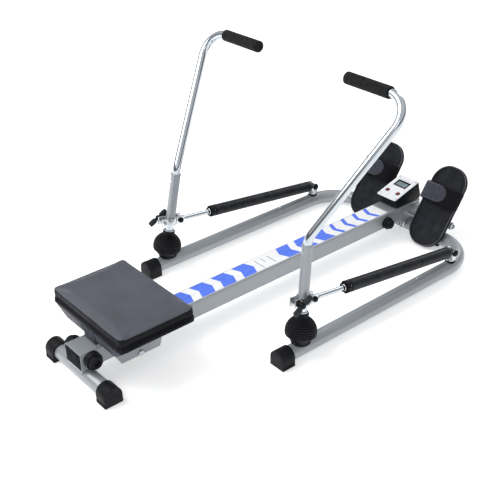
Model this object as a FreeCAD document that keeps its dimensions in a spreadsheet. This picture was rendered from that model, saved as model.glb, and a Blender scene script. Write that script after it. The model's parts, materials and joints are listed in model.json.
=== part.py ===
import FreeCAD, Part
import math
import os
from types import SimpleNamespace

import Sketcher

# Full-motion rowing machine: a rail with a sliding seat, a U-shaped base with two swinging
# arms on universal joints, a hydraulic cylinder per arm, pivoting pedals and a console.
# +X points to the front (the rower's feet), +Y to the rower's left, +Z up.
# The origin is on the floor, at the middle of the footprint.
SIZES = {
    # rail
    "beam_width": 80,
    "beam_height": 55,
    "beam_wall": 2,
    "beam_underside": 53,
    "beam_rear": -702,
    "beam_front": 650,
    "beam_corner": 5,
    "strip_width": 68,
    "strip_thick": 0.5,
    "strip_rear": -640,
    "strip_front": 493,
    "plug_inset": 2.2,
    # steel tubes, feet and base
    "frame_tube": 23,
    "frame_wall": 2,
    "rear_tube_x": -680,
    "rear_tube_z": 28,
    "rear_bolt_ahead": 38,
    "rear_half_span": 137,
    "rear_foot_size": 28,
    "rear_foot_inner": 112,
    "rear_foot_outer": 155,
    "base_tube_z": 27,
    "base_half_width": 318,
    "base_rear_x": -240,
    "base_front_x": 606,
    "base_bend": 135,
    "base_foot_rear": -255,
    "base_foot_front": -210,
    "base_foot_size": 27,
    "pad_offset": 150,
    # front cradle and pedal axle
    "cradle_rear": 555,
    "cradle_front": 645,
    "cradle_wall": 3,
    "cradle_top": 95,
    "cradle_bolt_x": 569,
    "cradle_bolt_z": 41,
    "bolt_radius": 4,
    "axle_x": 616,
    "axle_z": 80,
    "axle_radius": 6,
    "running_gap": 0.06,
    "spacer_radius": 19,
    # pedals, in their own tilted frame about the axle
    "pedal_middle": 139,
    "pedal_half_width": 68,
    "pedal_heel": 101,
    "pedal_toe": 184,
    "pedal_top": 22,
    "pedal_thick": 11,
    "pedal_tilt": 55,
    "pedal_corner": 62,
    "pedal_rim": 7,
    "strap_rear": 48,
    "strap_width": 62,
    "strap_thick": 3,
    "strap_rise": 42,
    # seat and carriage
    "seat_middle_x": -534,
    "seat_length": 244,
    "seat_half_width": 176,
    "cushion_low": 157,
    "cushion_top": 203,
    "pan_low": 121,
    "carriage_top": 145,
    "carriage_wall": 3,
    "carriage_half_width": 51,
    "carriage_half_length": 105,
    "carriage_low": 29,
    "roller_radius": 15,
    "roller_half_width": 36,
    "roller_spread": 60,
    "under_roller_radius": 16.5,
    "under_roller_x": -522,
    "roller_axle": 5,
    # arms, about the centre of each universal joint
    "pivot_x": -164.5,
    "pivot_z": 84,
    "arm_lean": 9.1,
    "arm_toe_in": 4.4,
    "cross_half": 10,
    "pin_radius": 4,
    "boot_outer": 44,
    "boot_wall": 3,
    "post_radius": 12.5,
    "post_top": 150,
    "lower_tube_radius": 15,
    "lower_tube_low": 78,
    "lower_tube_top": 254,
    "upper_tube_radius": 12.5,
    "upper_tube_wall": 1.5,
    "upper_tube_low": 160,
    "elbow_height": 271,
    "elbow_bend": 56,
    "handle_x": 125,
    "handle_z": 709.5,
    "handle_outer_y": 428,
    "handle_inner_y": 187,
    "handle_bend": 65,
    "grip_radius": 17.5,
    "grip_inset": 87,
    # clamp on each arm
    "clamp_height": 92,
    "clamp_length": 26,
    "clamp_wall": 5.5,
    "clamp_gap": 14.6,
    "jaw_thick": 5,
    "rod_bolt_reach": 33,
    "screw_reach": 28,
    "handle_bar_half": 36,
    "handle_bar_turn": 36,
    # hydraulic cylinders
    "swivel_x": 481,
    "swivel_z": 84,
    "cylinder_radius": 18.5,
    "cylinder_bore": 15.5,
    "cylinder_start": 22,
    "cylinder_end": 460,
    "dial_radius": 18.5,
    "dial_length": 18,
    "rod_radius": 7.5,
    "piston_place": 240,
    "eye_radius": 12,
    "eye_bore": 9,
    "eye_width": 7,
    "eye_shift_along": 2.3,
    "eye_shift_across": -3.1,
    # console, in its own tilted frame about the middle of its face
    "console_x": 578.5,
    "console_z": 157.5,
    "console_tilt": 15.5,
    "console_half_length": 62,
    "console_half_width": 42,
    "console_depth": 61,
    "console_rear_depth": 32,
    "face_thick": 2,
    "window_rear": 6,
    "window_front": 38,
    "window_half_width": 27,
    "window_rim": 4,
    "window_slack": 0.1,
    "button_radius": 6,
    "button_back": 26,
    "button_spread": 23,
}

X_AXIS = FreeCAD.Vector(1, 0, 0)
Y_AXIS = FreeCAD.Vector(0, 1, 0)
Z_AXIS = FreeCAD.Vector(0, 0, 1)
SIDES = (("left", 1), ("right", -1))
NO_SHIFT = (0, 0, 0)


class Size:
    """A length that keeps its value together with the sheet expression that gives it."""

    def __init__(self, value, text=None):
        self.value = float(value)
        self.text = text if text else f"{self.value:.6f}"

    def __float__(self):
        return self.value

    def __add__(self, other):
        other = as_size(other)
        return Size(self.value + other.value, f"({self.text} + {other.text})")

    def __sub__(self, other):
        other = as_size(other)
        return Size(self.value - other.value, f"({self.text} - {other.text})")

    def __mul__(self, other):
        other = as_size(other)
        return Size(self.value * other.value, f"({self.text} * {other.text})")

    def __truediv__(self, other):
        other = as_size(other)
        return Size(self.value / other.value, f"({self.text} / {other.text})")

    def __neg__(self):
        return Size(-self.value, f"(-1 * {self.text})")

    def __radd__(self, other):
        return as_size(other) + self

    def __rsub__(self, other):
        return as_size(other) - self

    def __rmul__(self, other):
        return as_size(other) * self


def as_size(number):
    return number if isinstance(number, Size) else Size(number)


def write_sheet(document):
    """Fill the spreadsheet and return every alias as a Size."""
    sheet = document.addObject("Spreadsheet::Sheet", "Sizes")
    for row, (alias, value) in enumerate(SIZES.items(), start=1):
        sheet.set(f"A{row}", alias)
        sheet.set(f"B{row}", str(value))
        sheet.setAlias(f"B{row}", alias)
    document.recompute()
    return SimpleNamespace(**{alias: Size(value, f"Sizes.{alias}") for alias, value in SIZES.items()})


doc = FreeCAD.newDocument("rowing_machine")
d = write_sheet(doc)
nodes = {}


def bind(item, prop, value):
    """Tie a property to its sheet expression."""
    value = as_size(value)
    setattr(item, prop, value.value)
    item.setExpression(prop, value.text)


def put(item, at=NO_SHIFT, turn=None):
    """Place an item, its position tied to the sheet."""
    spin = turn if turn else FreeCAD.Rotation()
    item.Placement = FreeCAD.Placement(FreeCAD.Vector(*[float(v) for v in at]), spin)
    for axis, value in zip("xyz", at):
        if isinstance(value, Size):
            item.setExpression(f"Placement.Base.{axis}", value.text)
    return item


def toward(axis):
    """The turn that takes +Z to an axis."""
    return FreeCAD.Rotation(Z_AXIS, axis)


def block(name, low, high):
    """A box between two corners."""
    item = doc.addObject("Part::Box", name)
    for prop, start, end in zip(("Length", "Width", "Height"), low, high):
        bind(item, prop, as_size(end) - as_size(start))
    return put(item, low)


def bar(name, radius, start, length, axis=Z_AXIS):
    """A round bar from a start point along an axis."""
    item = doc.addObject("Part::Cylinder", name)
    bind(item, "Radius", radius)
    bind(item, "Height", length)
    return put(item, start, toward(axis))


def ball(name, radius, at):
    item = doc.addObject("Part::Sphere", name)
    bind(item, "Radius", radius)
    return put(item, at)


def union(name, *pieces):
    item = doc.addObject("Part::MultiFuse", name)
    item.Shapes = list(pieces)
    return item


def group(name, *pieces):
    item = doc.addObject("Part::Compound", name)
    item.Links = list(pieces)
    return item


def less(name, base, *tools):
    """A piece with every tool cut away."""
    item = doc.addObject("Part::Cut", name)
    item.Base = base
    item.Tool = tools[0] if len(tools) == 1 else union(f"{name}_tools", *tools)
    return item


def shared(name, base, tool):
    item = doc.addObject("Part::Common", name)
    item.Base = base
    item.Tool = tool
    return item


def publish(node, item, placement=None):
    """Give a finished piece its label, and its place if it was built in a frame of its own."""
    if placement:
        item.Placement = placement
    item.Label = node
    nodes[node] = item
    return item


def new_sketch(body, plane):
    sketch = body.newObject("Sketcher::SketchObject", f"{body.Name}_sketch")
    support = next(f for f in body.Origin.OriginFeatures if f.Role == plane)
    sketch.AttachmentSupport = [(support, "")]
    sketch.MapMode = "FlatFace"
    return sketch


def outline(sketch, corners):
    """A closed straight-sided loop whose corners are dimensioned from the sketch origin."""
    first = sketch.GeometryCount
    points = [FreeCAD.Vector(float(across), float(up), 0) for across, up in corners]
    for start, end in zip(points, points[1:] + points[:1]):
        sketch.addGeometry(Part.LineSegment(start, end), False)
    for index in range(len(points)):
        following = first + (index + 1) % len(points)
        sketch.addConstraint(Sketcher.Constraint("Coincident", first + index, 2, following, 1))
    for index, corner in enumerate(corners):
        for kind, value in zip(("DistanceX", "DistanceY"), corner):
            value = as_size(value)
            rule = Sketcher.Constraint(kind, -1, 1, first + index, 1, value.value)
            number = sketch.addConstraint(rule)
            sketch.setExpression(f"Constraints[{number}]", value.text)


def rectangle(half_across, low, high):
    """Corners of a rectangle that is symmetric across the sketch's upright axis."""
    return [(-half_across, low), (half_across, low), (half_across, high), (-half_across, high)]


def prism(name, plane, loops, length, symmetric=False, at=NO_SHIFT, turn=None):
    """A padded sketch: the first loop is the outside, the others are holes."""
    body = doc.addObject("PartDesign::Body", name)
    sketch = new_sketch(body, plane)
    for corners in loops:
        outline(sketch, corners)
    pad = body.newObject("PartDesign::Pad", f"{name}_pad")
    pad.Profile = sketch
    bind(pad, "Length", length)
    if symmetric:
        pad.SideType = "Symmetric"
    doc.recompute()
    return put(body, at, turn)


def turned(name, profile, at=NO_SHIFT, turn=None):
    """A body turned about its own Z axis from (radius, height) corners."""
    body = doc.addObject("PartDesign::Body", name)
    sketch = new_sketch(body, "XZ_Plane")
    outline(sketch, profile)
    spin = body.newObject("PartDesign::Revolution", f"{name}_turning")
    spin.Profile = sketch
    spin.ReferenceAxis = (sketch, ["V_Axis"])
    spin.Angle = 360
    doc.recompute()
    return put(body, at, turn)


def soften(body, radius, chosen):
    """Round the edges of a body that a test picks."""
    doc.recompute()
    tip = body.Tip
    names = [f"Edge{n}" for n, edge in enumerate(tip.Shape.Edges, start=1) if chosen(edge)]
    fillet = body.newObject("PartDesign::Fillet", f"{body.Name}_round")
    fillet.Base = (tip, names)
    bind(fillet, "Radius", radius)
    doc.recompute()
    return body


def runs_along(edge, axis):
    """True for a straight edge parallel to an axis."""
    if not isinstance(edge.Curve, Part.Line):
        return False
    return abs(abs(edge.Curve.Direction.dot(axis)) - 1) < 1e-6


def bent_solid(name, points, bends, radius):
    """A round bar along straight runs joined by tangent arcs: cylinders and torus sectors."""
    pieces = []
    start = points[0]
    for index, (corner, bend) in enumerate(zip(points[1:-1], bends), start=1):
        into = (corner - points[index - 1]).normalize()
        away = (points[index + 1] - corner).normalize()
        angle = into.getAngle(away)
        trim = float(bend) * math.tan(angle / 2)
        arc_start = corner - into * trim
        pieces.append(bar(f"{name}_run", radius, tuple(start), (arc_start - start).Length, into))
        normal = into.cross(away).normalize()
        to_start = into.cross(normal)
        ring = doc.addObject("Part::Torus", f"{name}_bend")
        bind(ring, "Radius1", bend)
        bind(ring, "Radius2", radius)
        ring.Angle3 = math.degrees(angle)
        centre = arc_start - to_start * float(bend)
        frame = FreeCAD.Rotation(to_start, into, normal, "XYZ")
        ring.Placement = FreeCAD.Placement(centre, frame)
        pieces.append(ring)
        start = corner + away * trim
    last = (points[-1] - start).normalize()
    pieces.append(bar(f"{name}_run", radius, tuple(start), (points[-1] - start).Length, last))
    return union(name, *pieces)


def vector(across, along, up):
    return FreeCAD.Vector(float(across), float(along), float(up))


def dome_profile(radius, height):
    """Corners of a low acorn cap: a flat seat, a short wall and a tapered crown."""
    return [
        (0, 0),
        (radius, 0),
        (radius, height * 0.45),
        (radius * 0.8, height * 0.8),
        (radius * 0.4, height),
        (0, height),
    ]


# ---------------------------------------------------------------- rail
def make_rail():
    """The rectangular aluminium rail with its plugs and the printed strip on its top."""
    length = d.beam_front - d.beam_rear
    half = d.beam_width / 2
    top = d.beam_underside + d.beam_height
    loops = [
        rectangle(half, d.beam_underside, top),
        rectangle(half - d.beam_wall, d.beam_underside + d.beam_wall, top - d.beam_wall),
    ]
    rail = prism("rail", "YZ_Plane", loops, length, at=(d.beam_rear, 0, 0))
    outer = float(half) - 0.1
    soften(rail, d.beam_corner, lambda e: runs_along(e, X_AXIS) and abs(e.CenterOfMass.y) > outer)
    axle_at = (d.axle_x, -half - 1, d.axle_z)
    axle_hole = bar("axle_hole", d.axle_radius + d.running_gap, axle_at, d.beam_width + 2, Y_AXIS)
    bolt_holes = [
        bar("rail_bolt_hole", d.bolt_radius + d.running_gap, (x, y, d.beam_underside - 1), 8)
        for x, y in rear_bolt_places()
    ]
    publish("main_beam", less("main_beam", rail, axle_hole, *bolt_holes))
    plug_half = half - d.plug_inset
    plug_depth = 18
    plug_lip = 1
    outline_loop = rectangle(plug_half, d.beam_underside + d.plug_inset, top - d.plug_inset)
    plugs = []
    for start in (d.beam_rear - plug_lip, d.beam_front - plug_depth):
        plug = prism("beam_plug", "YZ_Plane", [outline_loop], plug_depth + plug_lip, at=(start, 0, 0))
        soften(plug, 3, lambda e: runs_along(e, X_AXIS))
        plugs.append(plug)
    publish("beam_end_plugs", group("beam_end_plugs", *plugs))
    strip = block(
        "track_strip",
        (d.strip_rear, -d.strip_width / 2, top),
        (d.strip_front, d.strip_width / 2, top + d.strip_thick),
    )
    publish("track_strip", strip)


def rear_bolt_places():
    """The two bolts that hold the rear stabiliser under the rail, ahead of its tube."""
    return [(d.rear_tube_x + d.rear_bolt_ahead, 22 * side) for side in (-1, 1)]


def make_bumpers():
    """Rubber stops on both sides of the rail, larger at the rear."""
    rear = [(0, 0), (25, 0), (25, 18), (19, 18), (19, 29), (10, 29), (10, 23), (0, 23)]
    front = [(0, 0), (20, 0), (20, 14), (15, 14), (15, 24), (0, 24)]
    half = d.beam_width / 2
    stops = []
    for side in (1, -1):
        turn = toward(Y_AXIS * side)
        stops.append(turned("rear_stop", rear, (d.beam_rear + 32, side * half, 83), turn))
        stops.append(turned("front_stop", front, (d.swivel_x + 2, side * half, 75), turn))
    publish("track_bumpers", group("track_bumpers", *stops))


# ---------------------------------------------------------------- supports on the floor
def foot_block(name, size, low_end, high_end, across, axis):
    """A D-shaped rubber foot: round on top, flat on the floor, with a socket for a tube."""
    length = high_end - low_end
    if axis == "y":
        start = (across, low_end, size)
        bulk = block(f"{name}_sole", (across - size, low_end, 0), (across + size, high_end, size))
        crown = bar(f"{name}_crown", size, start, length, Y_AXIS)
    else:
        start = (low_end, across, size)
        bulk = block(f"{name}_sole", (low_end, across - size, 0), (high_end, across + size, size))
        crown = bar(f"{name}_crown", size, start, length, X_AXIS)
    return union(name, bulk, crown)


def make_rear_stabiliser():
    """Cross tube with a welded saddle and plate that bolts up against the rail."""
    span = d.rear_half_span
    at = (d.rear_tube_x, -span, d.rear_tube_z)
    outside = bar("rear_tube_outside", d.frame_tube, at, span * 2, Y_AXIS)
    inside = bar("rear_tube_inside", d.frame_tube - d.frame_wall, at, span * 2, Y_AXIS)
    plate = block(
        "rear_plate",
        (d.rear_tube_x - 20, -35, d.beam_underside - 3),
        (d.rear_tube_x + d.rear_bolt_ahead + 12, 35, d.beam_underside),
    )
    saddle = block(
        "rear_saddle",
        (d.rear_tube_x - 20, -35, d.rear_tube_z),
        (d.rear_tube_x + 20, 35, d.beam_underside - 1),
    )
    holes = [
        bar("rear_bolt_hole", d.bolt_radius + d.running_gap, (x, y, d.beam_underside - 6), 10)
        for x, y in rear_bolt_places()
    ]
    solid = union("rear_stabiliser_solid", outside, plate, saddle)
    publish("rear_stabiliser", less("rear_stabiliser", solid, inside, *holes))
    feet = []
    for side in (1, -1):
        ends = sorted((side * d.rear_foot_inner, side * d.rear_foot_outer), key=float)
        foot = foot_block("rear_foot", d.rear_foot_size, ends[0], ends[1], d.rear_tube_x, "y")
        socket_at = (d.rear_tube_x, side * (d.rear_foot_inner - 1), d.rear_tube_z)
        depth = span - d.rear_foot_inner + 1.1
        socket = bar("rear_socket", d.frame_tube + 0.05, socket_at, depth, Y_AXIS * side)
        feet.append(less("rear_foot_hollow", foot, socket))
    publish("rear_feet", group("rear_feet", *feet))


def base_path():
    """Centre line of the U-shaped base tube, from one rear end round the front to the other."""
    return [
        vector(d.base_rear_x, d.base_half_width, d.base_tube_z),
        vector(d.base_front_x, d.base_half_width, d.base_tube_z),
        vector(d.base_front_x, -d.base_half_width, d.base_tube_z),
        vector(d.base_rear_x, -d.base_half_width, d.base_tube_z),
    ]


def make_base():
    """The U-shaped base tube with its bolt lug and the two bosses that carry the cylinders."""
    bends = (d.base_bend, d.base_bend)
    outside = bent_solid("base_outside", base_path(), bends, d.frame_tube)
    inside = bent_solid("base_inside", base_path(), bends, d.frame_tube - d.frame_wall)
    lug_low = d.cradle_bolt_x - 9
    lug = block("base_lug", (lug_low, -30, 32), (d.base_front_x - 12, 30, d.beam_underside - 3.5))
    lug_bolt_at = (d.cradle_bolt_x, -31, d.cradle_bolt_z)
    lug_hole = bar("lug_hole", d.bolt_radius + d.running_gap, lug_bolt_at, 62, Y_AXIS)
    bosses = []
    sockets = []
    for side in (1, -1):
        foot = (d.swivel_x, side * d.base_half_width, d.base_tube_z)
        bosses.append(bar("swivel_boss", 12, foot, 27))
        sockets.append(bar("swivel_socket", 5 + d.running_gap, foot, 28))
    solid = union("base_solid", outside, lug, *bosses)
    publish("base_frame", less("base_frame", solid, inside, lug_hole, *sockets))
    feet = []
    for side in (1, -1):
        across = side * d.base_half_width
        foot = foot_block("base_foot", d.base_foot_size, d.base_foot_rear, d.base_foot_front, across, "x")
        depth = d.base_foot_front - d.base_rear_x + 1.1
        socket_at = (d.base_rear_x - 0.1, across, d.base_tube_z)
        socket = bar("base_socket", d.frame_tube + 0.05, socket_at, depth, X_AXIS)
        feet.append(less("base_foot_hollow", foot, socket))
    publish("base_feet", group("base_feet", *feet))
    pads = []
    for side in (1, -1):
        across = side * d.pad_offset
        low_corner = (d.base_front_x - 18, across - 30, 0)
        slab = block("front_pad", low_corner, (d.base_front_x + 18, across + 30, 12))
        seat_at = (d.base_front_x, across - 31, d.base_tube_z)
        seat = bar("pad_seat", d.frame_tube + 0.05, seat_at, 62, Y_AXIS)
        pads.append(less("front_pad_cut", slab, seat))
    publish("front_pads", group("front_pads", *pads))


def make_cradle():
    """The channel that holds the rail's front end on the base tube."""
    inner = d.beam_width / 2 + 0.3
    outer = inner + d.cradle_wall
    floor = d.beam_underside - d.cradle_wall
    channel = [
        (-outer, floor),
        (outer, floor),
        (outer, d.cradle_top),
        (inner, d.cradle_top),
        (inner, d.beam_underside),
        (-inner, d.beam_underside),
        (-inner, d.cradle_top),
        (-outer, d.cradle_top),
    ]
    length = d.cradle_front - d.cradle_rear
    sides = prism("cradle_channel", "YZ_Plane", [channel], length, at=(d.cradle_rear, 0, 0))
    ears = [
        block("cradle_ear", (d.cradle_rear, low, 31), (d.cradle_rear + 28, low + d.cradle_wall, floor + 1))
        for low in (inner, -outer)
    ]
    saddle_low = (d.base_front_x - 10, -outer, 36)
    saddle = block("cradle_saddle", saddle_low, (d.base_front_x + 22, outer, floor + 1))
    tube_at = (d.base_front_x, -outer - 1, d.base_tube_z)
    tube = bar("cradle_tube_space", d.frame_tube + 0.02, tube_at, outer * 2 + 2, Y_AXIS)
    bolt_at = (d.cradle_bolt_x, -outer - 1, d.cradle_bolt_z)
    bolt_hole = bar("cradle_bolt_hole", d.bolt_radius + d.running_gap, bolt_at, outer * 2 + 2, Y_AXIS)
    axle_at = (d.axle_x, -outer - 1, d.axle_z)
    axle_hole = bar("cradle_axle_hole", d.axle_radius + d.running_gap, axle_at, outer * 2 + 2, Y_AXIS)
    solid = union("cradle_solid", sides, saddle, *ears)
    publish("front_cradle", less("front_cradle", solid, tube, bolt_hole, axle_hole))


def make_frame_fasteners():
    """Cradle bolt with cap nuts, the two rail bolts and the two acorn nuts of the pedal axle."""
    face = d.beam_width / 2 + 0.3 + d.cradle_wall
    shank = bar("cradle_bolt", d.bolt_radius, (d.cradle_bolt_x, -face, d.cradle_bolt_z), face * 2, Y_AXIS)
    caps = []
    for side in (1, -1):
        cap_at = (d.cradle_bolt_x, side * face, d.cradle_bolt_z)
        caps.append(turned("cradle_cap", dome_profile(9, 9), cap_at, toward(Y_AXIS * side)))
    pieces = [union("cradle_bolt_whole", shank, *caps)]
    for x, y in rear_bolt_places():
        head = bar("rail_bolt_head", 6.5, (x, y, d.beam_underside - 8), 5)
        stem = bar("rail_bolt_stem", d.bolt_radius, (x, y, d.beam_underside - 4), 10)
        pieces.append(union("rail_bolt", head, stem))
    for side in (1, -1):
        nut_at = (d.axle_x, side * (d.pedal_middle + d.pedal_half_width + 0.4), d.axle_z)
        nut = turned("axle_nut", dome_profile(10, 12), nut_at, toward(Y_AXIS * side))
        thread = bar("axle_nut_thread", d.axle_radius + 0.02, nut_at, 6, Y_AXIS * side)
        pieces.append(less("axle_nut_cut", nut, thread))
    publish("frame_bolts", group("frame_bolts", *pieces))


def make_pedal_axle():
    """The axle through the rail, and the spacers between the cradle and the pedals."""
    reach = d.pedal_middle + d.pedal_half_width + 6
    axle = bar("pedal_axle", d.axle_radius, (d.axle_x, -reach, d.axle_z), reach * 2, Y_AXIS)
    publish("pedal_axle", axle)
    start = d.beam_width / 2 + 0.3 + d.cradle_wall
    end = d.pedal_middle - d.pedal_half_width - 0.4
    spacers = []
    for side in (1, -1):
        at = (d.axle_x, side * start, d.axle_z)
        sleeve = bar("spacer_outside", d.spacer_radius, at, end - start, Y_AXIS * side)
        hole = bar("spacer_hole", d.axle_radius + d.running_gap, at, end - start, Y_AXIS * side)
        spacers.append(less("axle_spacer", sleeve, hole))
    publish("axle_spacers", group("axle_spacers", *spacers))


# ---------------------------------------------------------------- pedals
def footprint(heel, toe, half):
    """Corners of a pedal outline before its ends are rounded."""
    return [(-heel, -half), (toe, -half), (toe, half), (-heel, half)]


def make_pedal(side_name, side):
    """Footplate with a raised rim, a hub on the axle, and the strap over the foot."""
    half = d.pedal_half_width
    top = d.pedal_top
    length = d.pedal_heel + d.pedal_toe
    rim = d.pedal_rim
    plate = prism(
        "pedal_plate",
        "XY_Plane",
        [footprint(d.pedal_heel, d.pedal_toe, half)],
        d.pedal_thick,
        at=(0, 0, top - d.pedal_thick),
    )
    soften(plate, d.pedal_corner, lambda e: runs_along(e, Z_AXIS))
    hollow = prism(
        "pedal_hollow",
        "XY_Plane",
        [footprint(d.pedal_heel - rim, d.pedal_toe - rim, half - rim)],
        d.pedal_thick,
        at=(0, 0, top - 3),
    )
    soften(hollow, d.pedal_corner - rim, lambda e: runs_along(e, Z_AXIS))
    tread_count = 8
    tread_half = half - 18
    treads = []
    for step in range(1, tread_count + 1):
        middle = length * step / (tread_count + 1) - d.pedal_heel
        low_corner = (middle - 3, -tread_half, top - 4)
        treads.append(block("pedal_tread", low_corner, (middle + 3, tread_half, top - 2.6)))
    hub = bar("pedal_hub", 12, (0, -half, 0), half * 2, Y_AXIS)
    web = block("pedal_web", (-11, -half + 4, 0), (11, half - 4, top - d.pedal_thick + 1))
    bore = bar("pedal_bore", d.axle_radius + d.running_gap, (0, -half - 1, 0), half * 2 + 2, Y_AXIS)
    dished = less("pedal_dished", plate, hollow)
    solid = union("pedal_solid", dished, hub, web, *treads)
    turn = FreeCAD.Rotation(Y_AXIS, -float(d.pedal_tilt))
    place = FreeCAD.Placement(vector(d.axle_x, side * d.pedal_middle, d.axle_z), turn)
    publish(f"foot_pedal_{side_name}", less("foot_pedal", solid, bore), place)
    shoulder = half * 0.72
    crown = half * 0.3
    low = top - d.pedal_thick + 1
    high = top + d.strap_rise
    thick = d.strap_thick
    outer = [
        (half + thick, low),
        (half + thick, high - 26),
        (shoulder + thick, high - 7),
        (crown, high),
        (-crown, high),
        (-shoulder - thick, high - 7),
        (-half - thick, high - 26),
        (-half - thick, low),
    ]
    inner = [
        (-half, low),
        (-half, high - 27),
        (-shoulder, high - 10),
        (-crown, high - thick),
        (crown, high - thick),
        (shoulder, high - 10),
        (half, high - 27),
        (half, low),
    ]
    band = prism("strap_band", "YZ_Plane", [outer + inner], d.strap_width)
    band_place = place.multiply(FreeCAD.Placement(vector(d.strap_rear, 0, 0), FreeCAD.Rotation()))
    publish(f"foot_strap_{side_name}", band, band_place)


# ---------------------------------------------------------------- seat
def make_seat():
    """Padded seat on a pan, and the folded-steel carriage that wraps round the rail."""
    half_length = d.seat_length / 2
    middle = (d.seat_middle_x, 0, 0)
    cushion = prism(
        "seat_block",
        "XY_Plane",
        [rectangle(half_length, -d.seat_half_width, d.seat_half_width)],
        d.cushion_top - d.cushion_low,
        at=(d.seat_middle_x, 0, d.cushion_low),
    )
    soften(cushion, 18, lambda e: runs_along(e, Z_AXIS))
    upper = float(d.cushion_top - d.cushion_low) - 0.1
    soften(cushion, 7, lambda e: e.CenterOfMass.z > upper)
    publish("seat_cushion", cushion)

    pan = doc.addObject("PartDesign::Body", "pan_loft")
    lower_half = half_length - 13
    sketches = []
    for half_x, half_y, height in (
        (lower_half, d.seat_half_width - 54, 0),
        (half_length - 5, d.seat_half_width - 6, d.cushion_low - d.pan_low),
    ):
        sketch = new_sketch(pan, "XY_Plane")
        outline(sketch, rectangle(half_x, -half_y, half_y))
        sketch.AttachmentOffset = FreeCAD.Placement(vector(0, 0, height), FreeCAD.Rotation())
        sketches.append(sketch)
    loft = pan.newObject("PartDesign::AdditiveLoft", "pan_walls")
    loft.Profile = sketches[0]
    loft.Sections = [sketches[1]]
    put(pan, (d.seat_middle_x, 0, d.pan_low))
    reach = d.carriage_half_length + 2
    width = d.carriage_half_width + 8
    tunnel = block(
        "pan_tunnel",
        (d.seat_middle_x - reach, -width, d.pan_low - 1),
        (d.seat_middle_x + reach, width, d.carriage_top),
    )
    hollow_pan = less("pan_hollow", pan, tunnel)
    apron = block(
        "pan_apron",
        (d.seat_middle_x - lower_half - 3, -27, d.beam_underside + d.beam_height + 2),
        (d.seat_middle_x - reach - 0.2, 27, d.carriage_top),
    )
    publish("seat_pan", union("seat_pan", hollow_pan, apron))

    back = -d.carriage_half_length
    front = d.carriage_half_length
    side_shape = [
        (back, d.carriage_top),
        (back, d.carriage_top - 20),
        (back + 54, d.carriage_low),
        (front - 28, d.carriage_low),
        (front, d.carriage_top - 20),
        (front, d.carriage_top),
    ]
    bulk = prism("carriage_bulk", "XZ_Plane", [side_shape], d.carriage_half_width * 2, True, middle)
    wall = d.carriage_wall
    inside = block(
        "carriage_inside",
        (d.seat_middle_x + back + wall, -d.carriage_half_width + wall, 0),
        (d.seat_middle_x + front - wall, d.carriage_half_width - wall, d.carriage_top - wall),
    )
    holes = []
    axles = []
    for place in roller_places():
        x, z = place
        at = (x, -d.carriage_half_width - 1, z)
        holes.append(bar("carriage_hole", d.roller_axle + 0.05, at, d.carriage_half_width * 2 + 2, Y_AXIS))
        shaft_at = (x, -d.carriage_half_width, z)
        shaft = bar("axle_shaft", d.roller_axle, shaft_at, d.carriage_half_width * 2, Y_AXIS)
        caps = []
        for side in (1, -1):
            cap_at = (x, side * d.carriage_half_width, z)
            caps.append(turned("axle_cap", dome_profile(9, 6), cap_at, toward(Y_AXIS * side)))
        axles.append(union("roller_axle", shaft, *caps))
    publish("seat_carriage", less("seat_carriage", bulk, inside, *holes))
    publish("roller_axles", group("roller_axles", *axles))

    names = ("roller_rear", "roller_front", "roller_under")
    radii = (d.roller_radius, d.roller_radius, d.under_roller_radius)
    for node, radius, (x, z) in zip(names, radii, roller_places()):
        publish(node, turned(node, spool_profile(radius), (x, 0, z), toward(Y_AXIS)))


def roller_places():
    """Axle centres: two rollers on top of the rail and one beneath it."""
    track = d.beam_underside + d.beam_height + d.strip_thick
    upper = track + d.roller_radius
    return [
        (d.seat_middle_x - d.roller_spread, upper),
        (d.seat_middle_x + d.roller_spread, upper),
        (d.under_roller_x, d.beam_underside - 0.2 - d.under_roller_radius),
    ]


def spool_profile(radius):
    """A nylon roller with two treads, a waist and a bore for its axle."""
    half = d.roller_half_width
    bore = d.roller_axle + d.running_gap
    waist = radius - 5
    return [
        (bore, -half),
        (radius, -half),
        (radius, -half / 3),
        (waist, -half / 3 + 3),
        (waist, half / 3 - 3),
        (radius, half / 3),
        (radius, half),
        (bore, half),
    ]


# ---------------------------------------------------------------- arms
def arm_placement(side):
    """The arm's own frame: origin in the universal joint, +Z up along the arm."""
    lean = FreeCAD.Rotation(Y_AXIS, float(d.arm_lean))
    toe_in = FreeCAD.Rotation(X_AXIS, side * float(d.arm_toe_in))
    pivot = vector(d.pivot_x, side * d.base_half_width, d.pivot_z)
    return FreeCAD.Placement(pivot, lean.multiply(toe_in))


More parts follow.
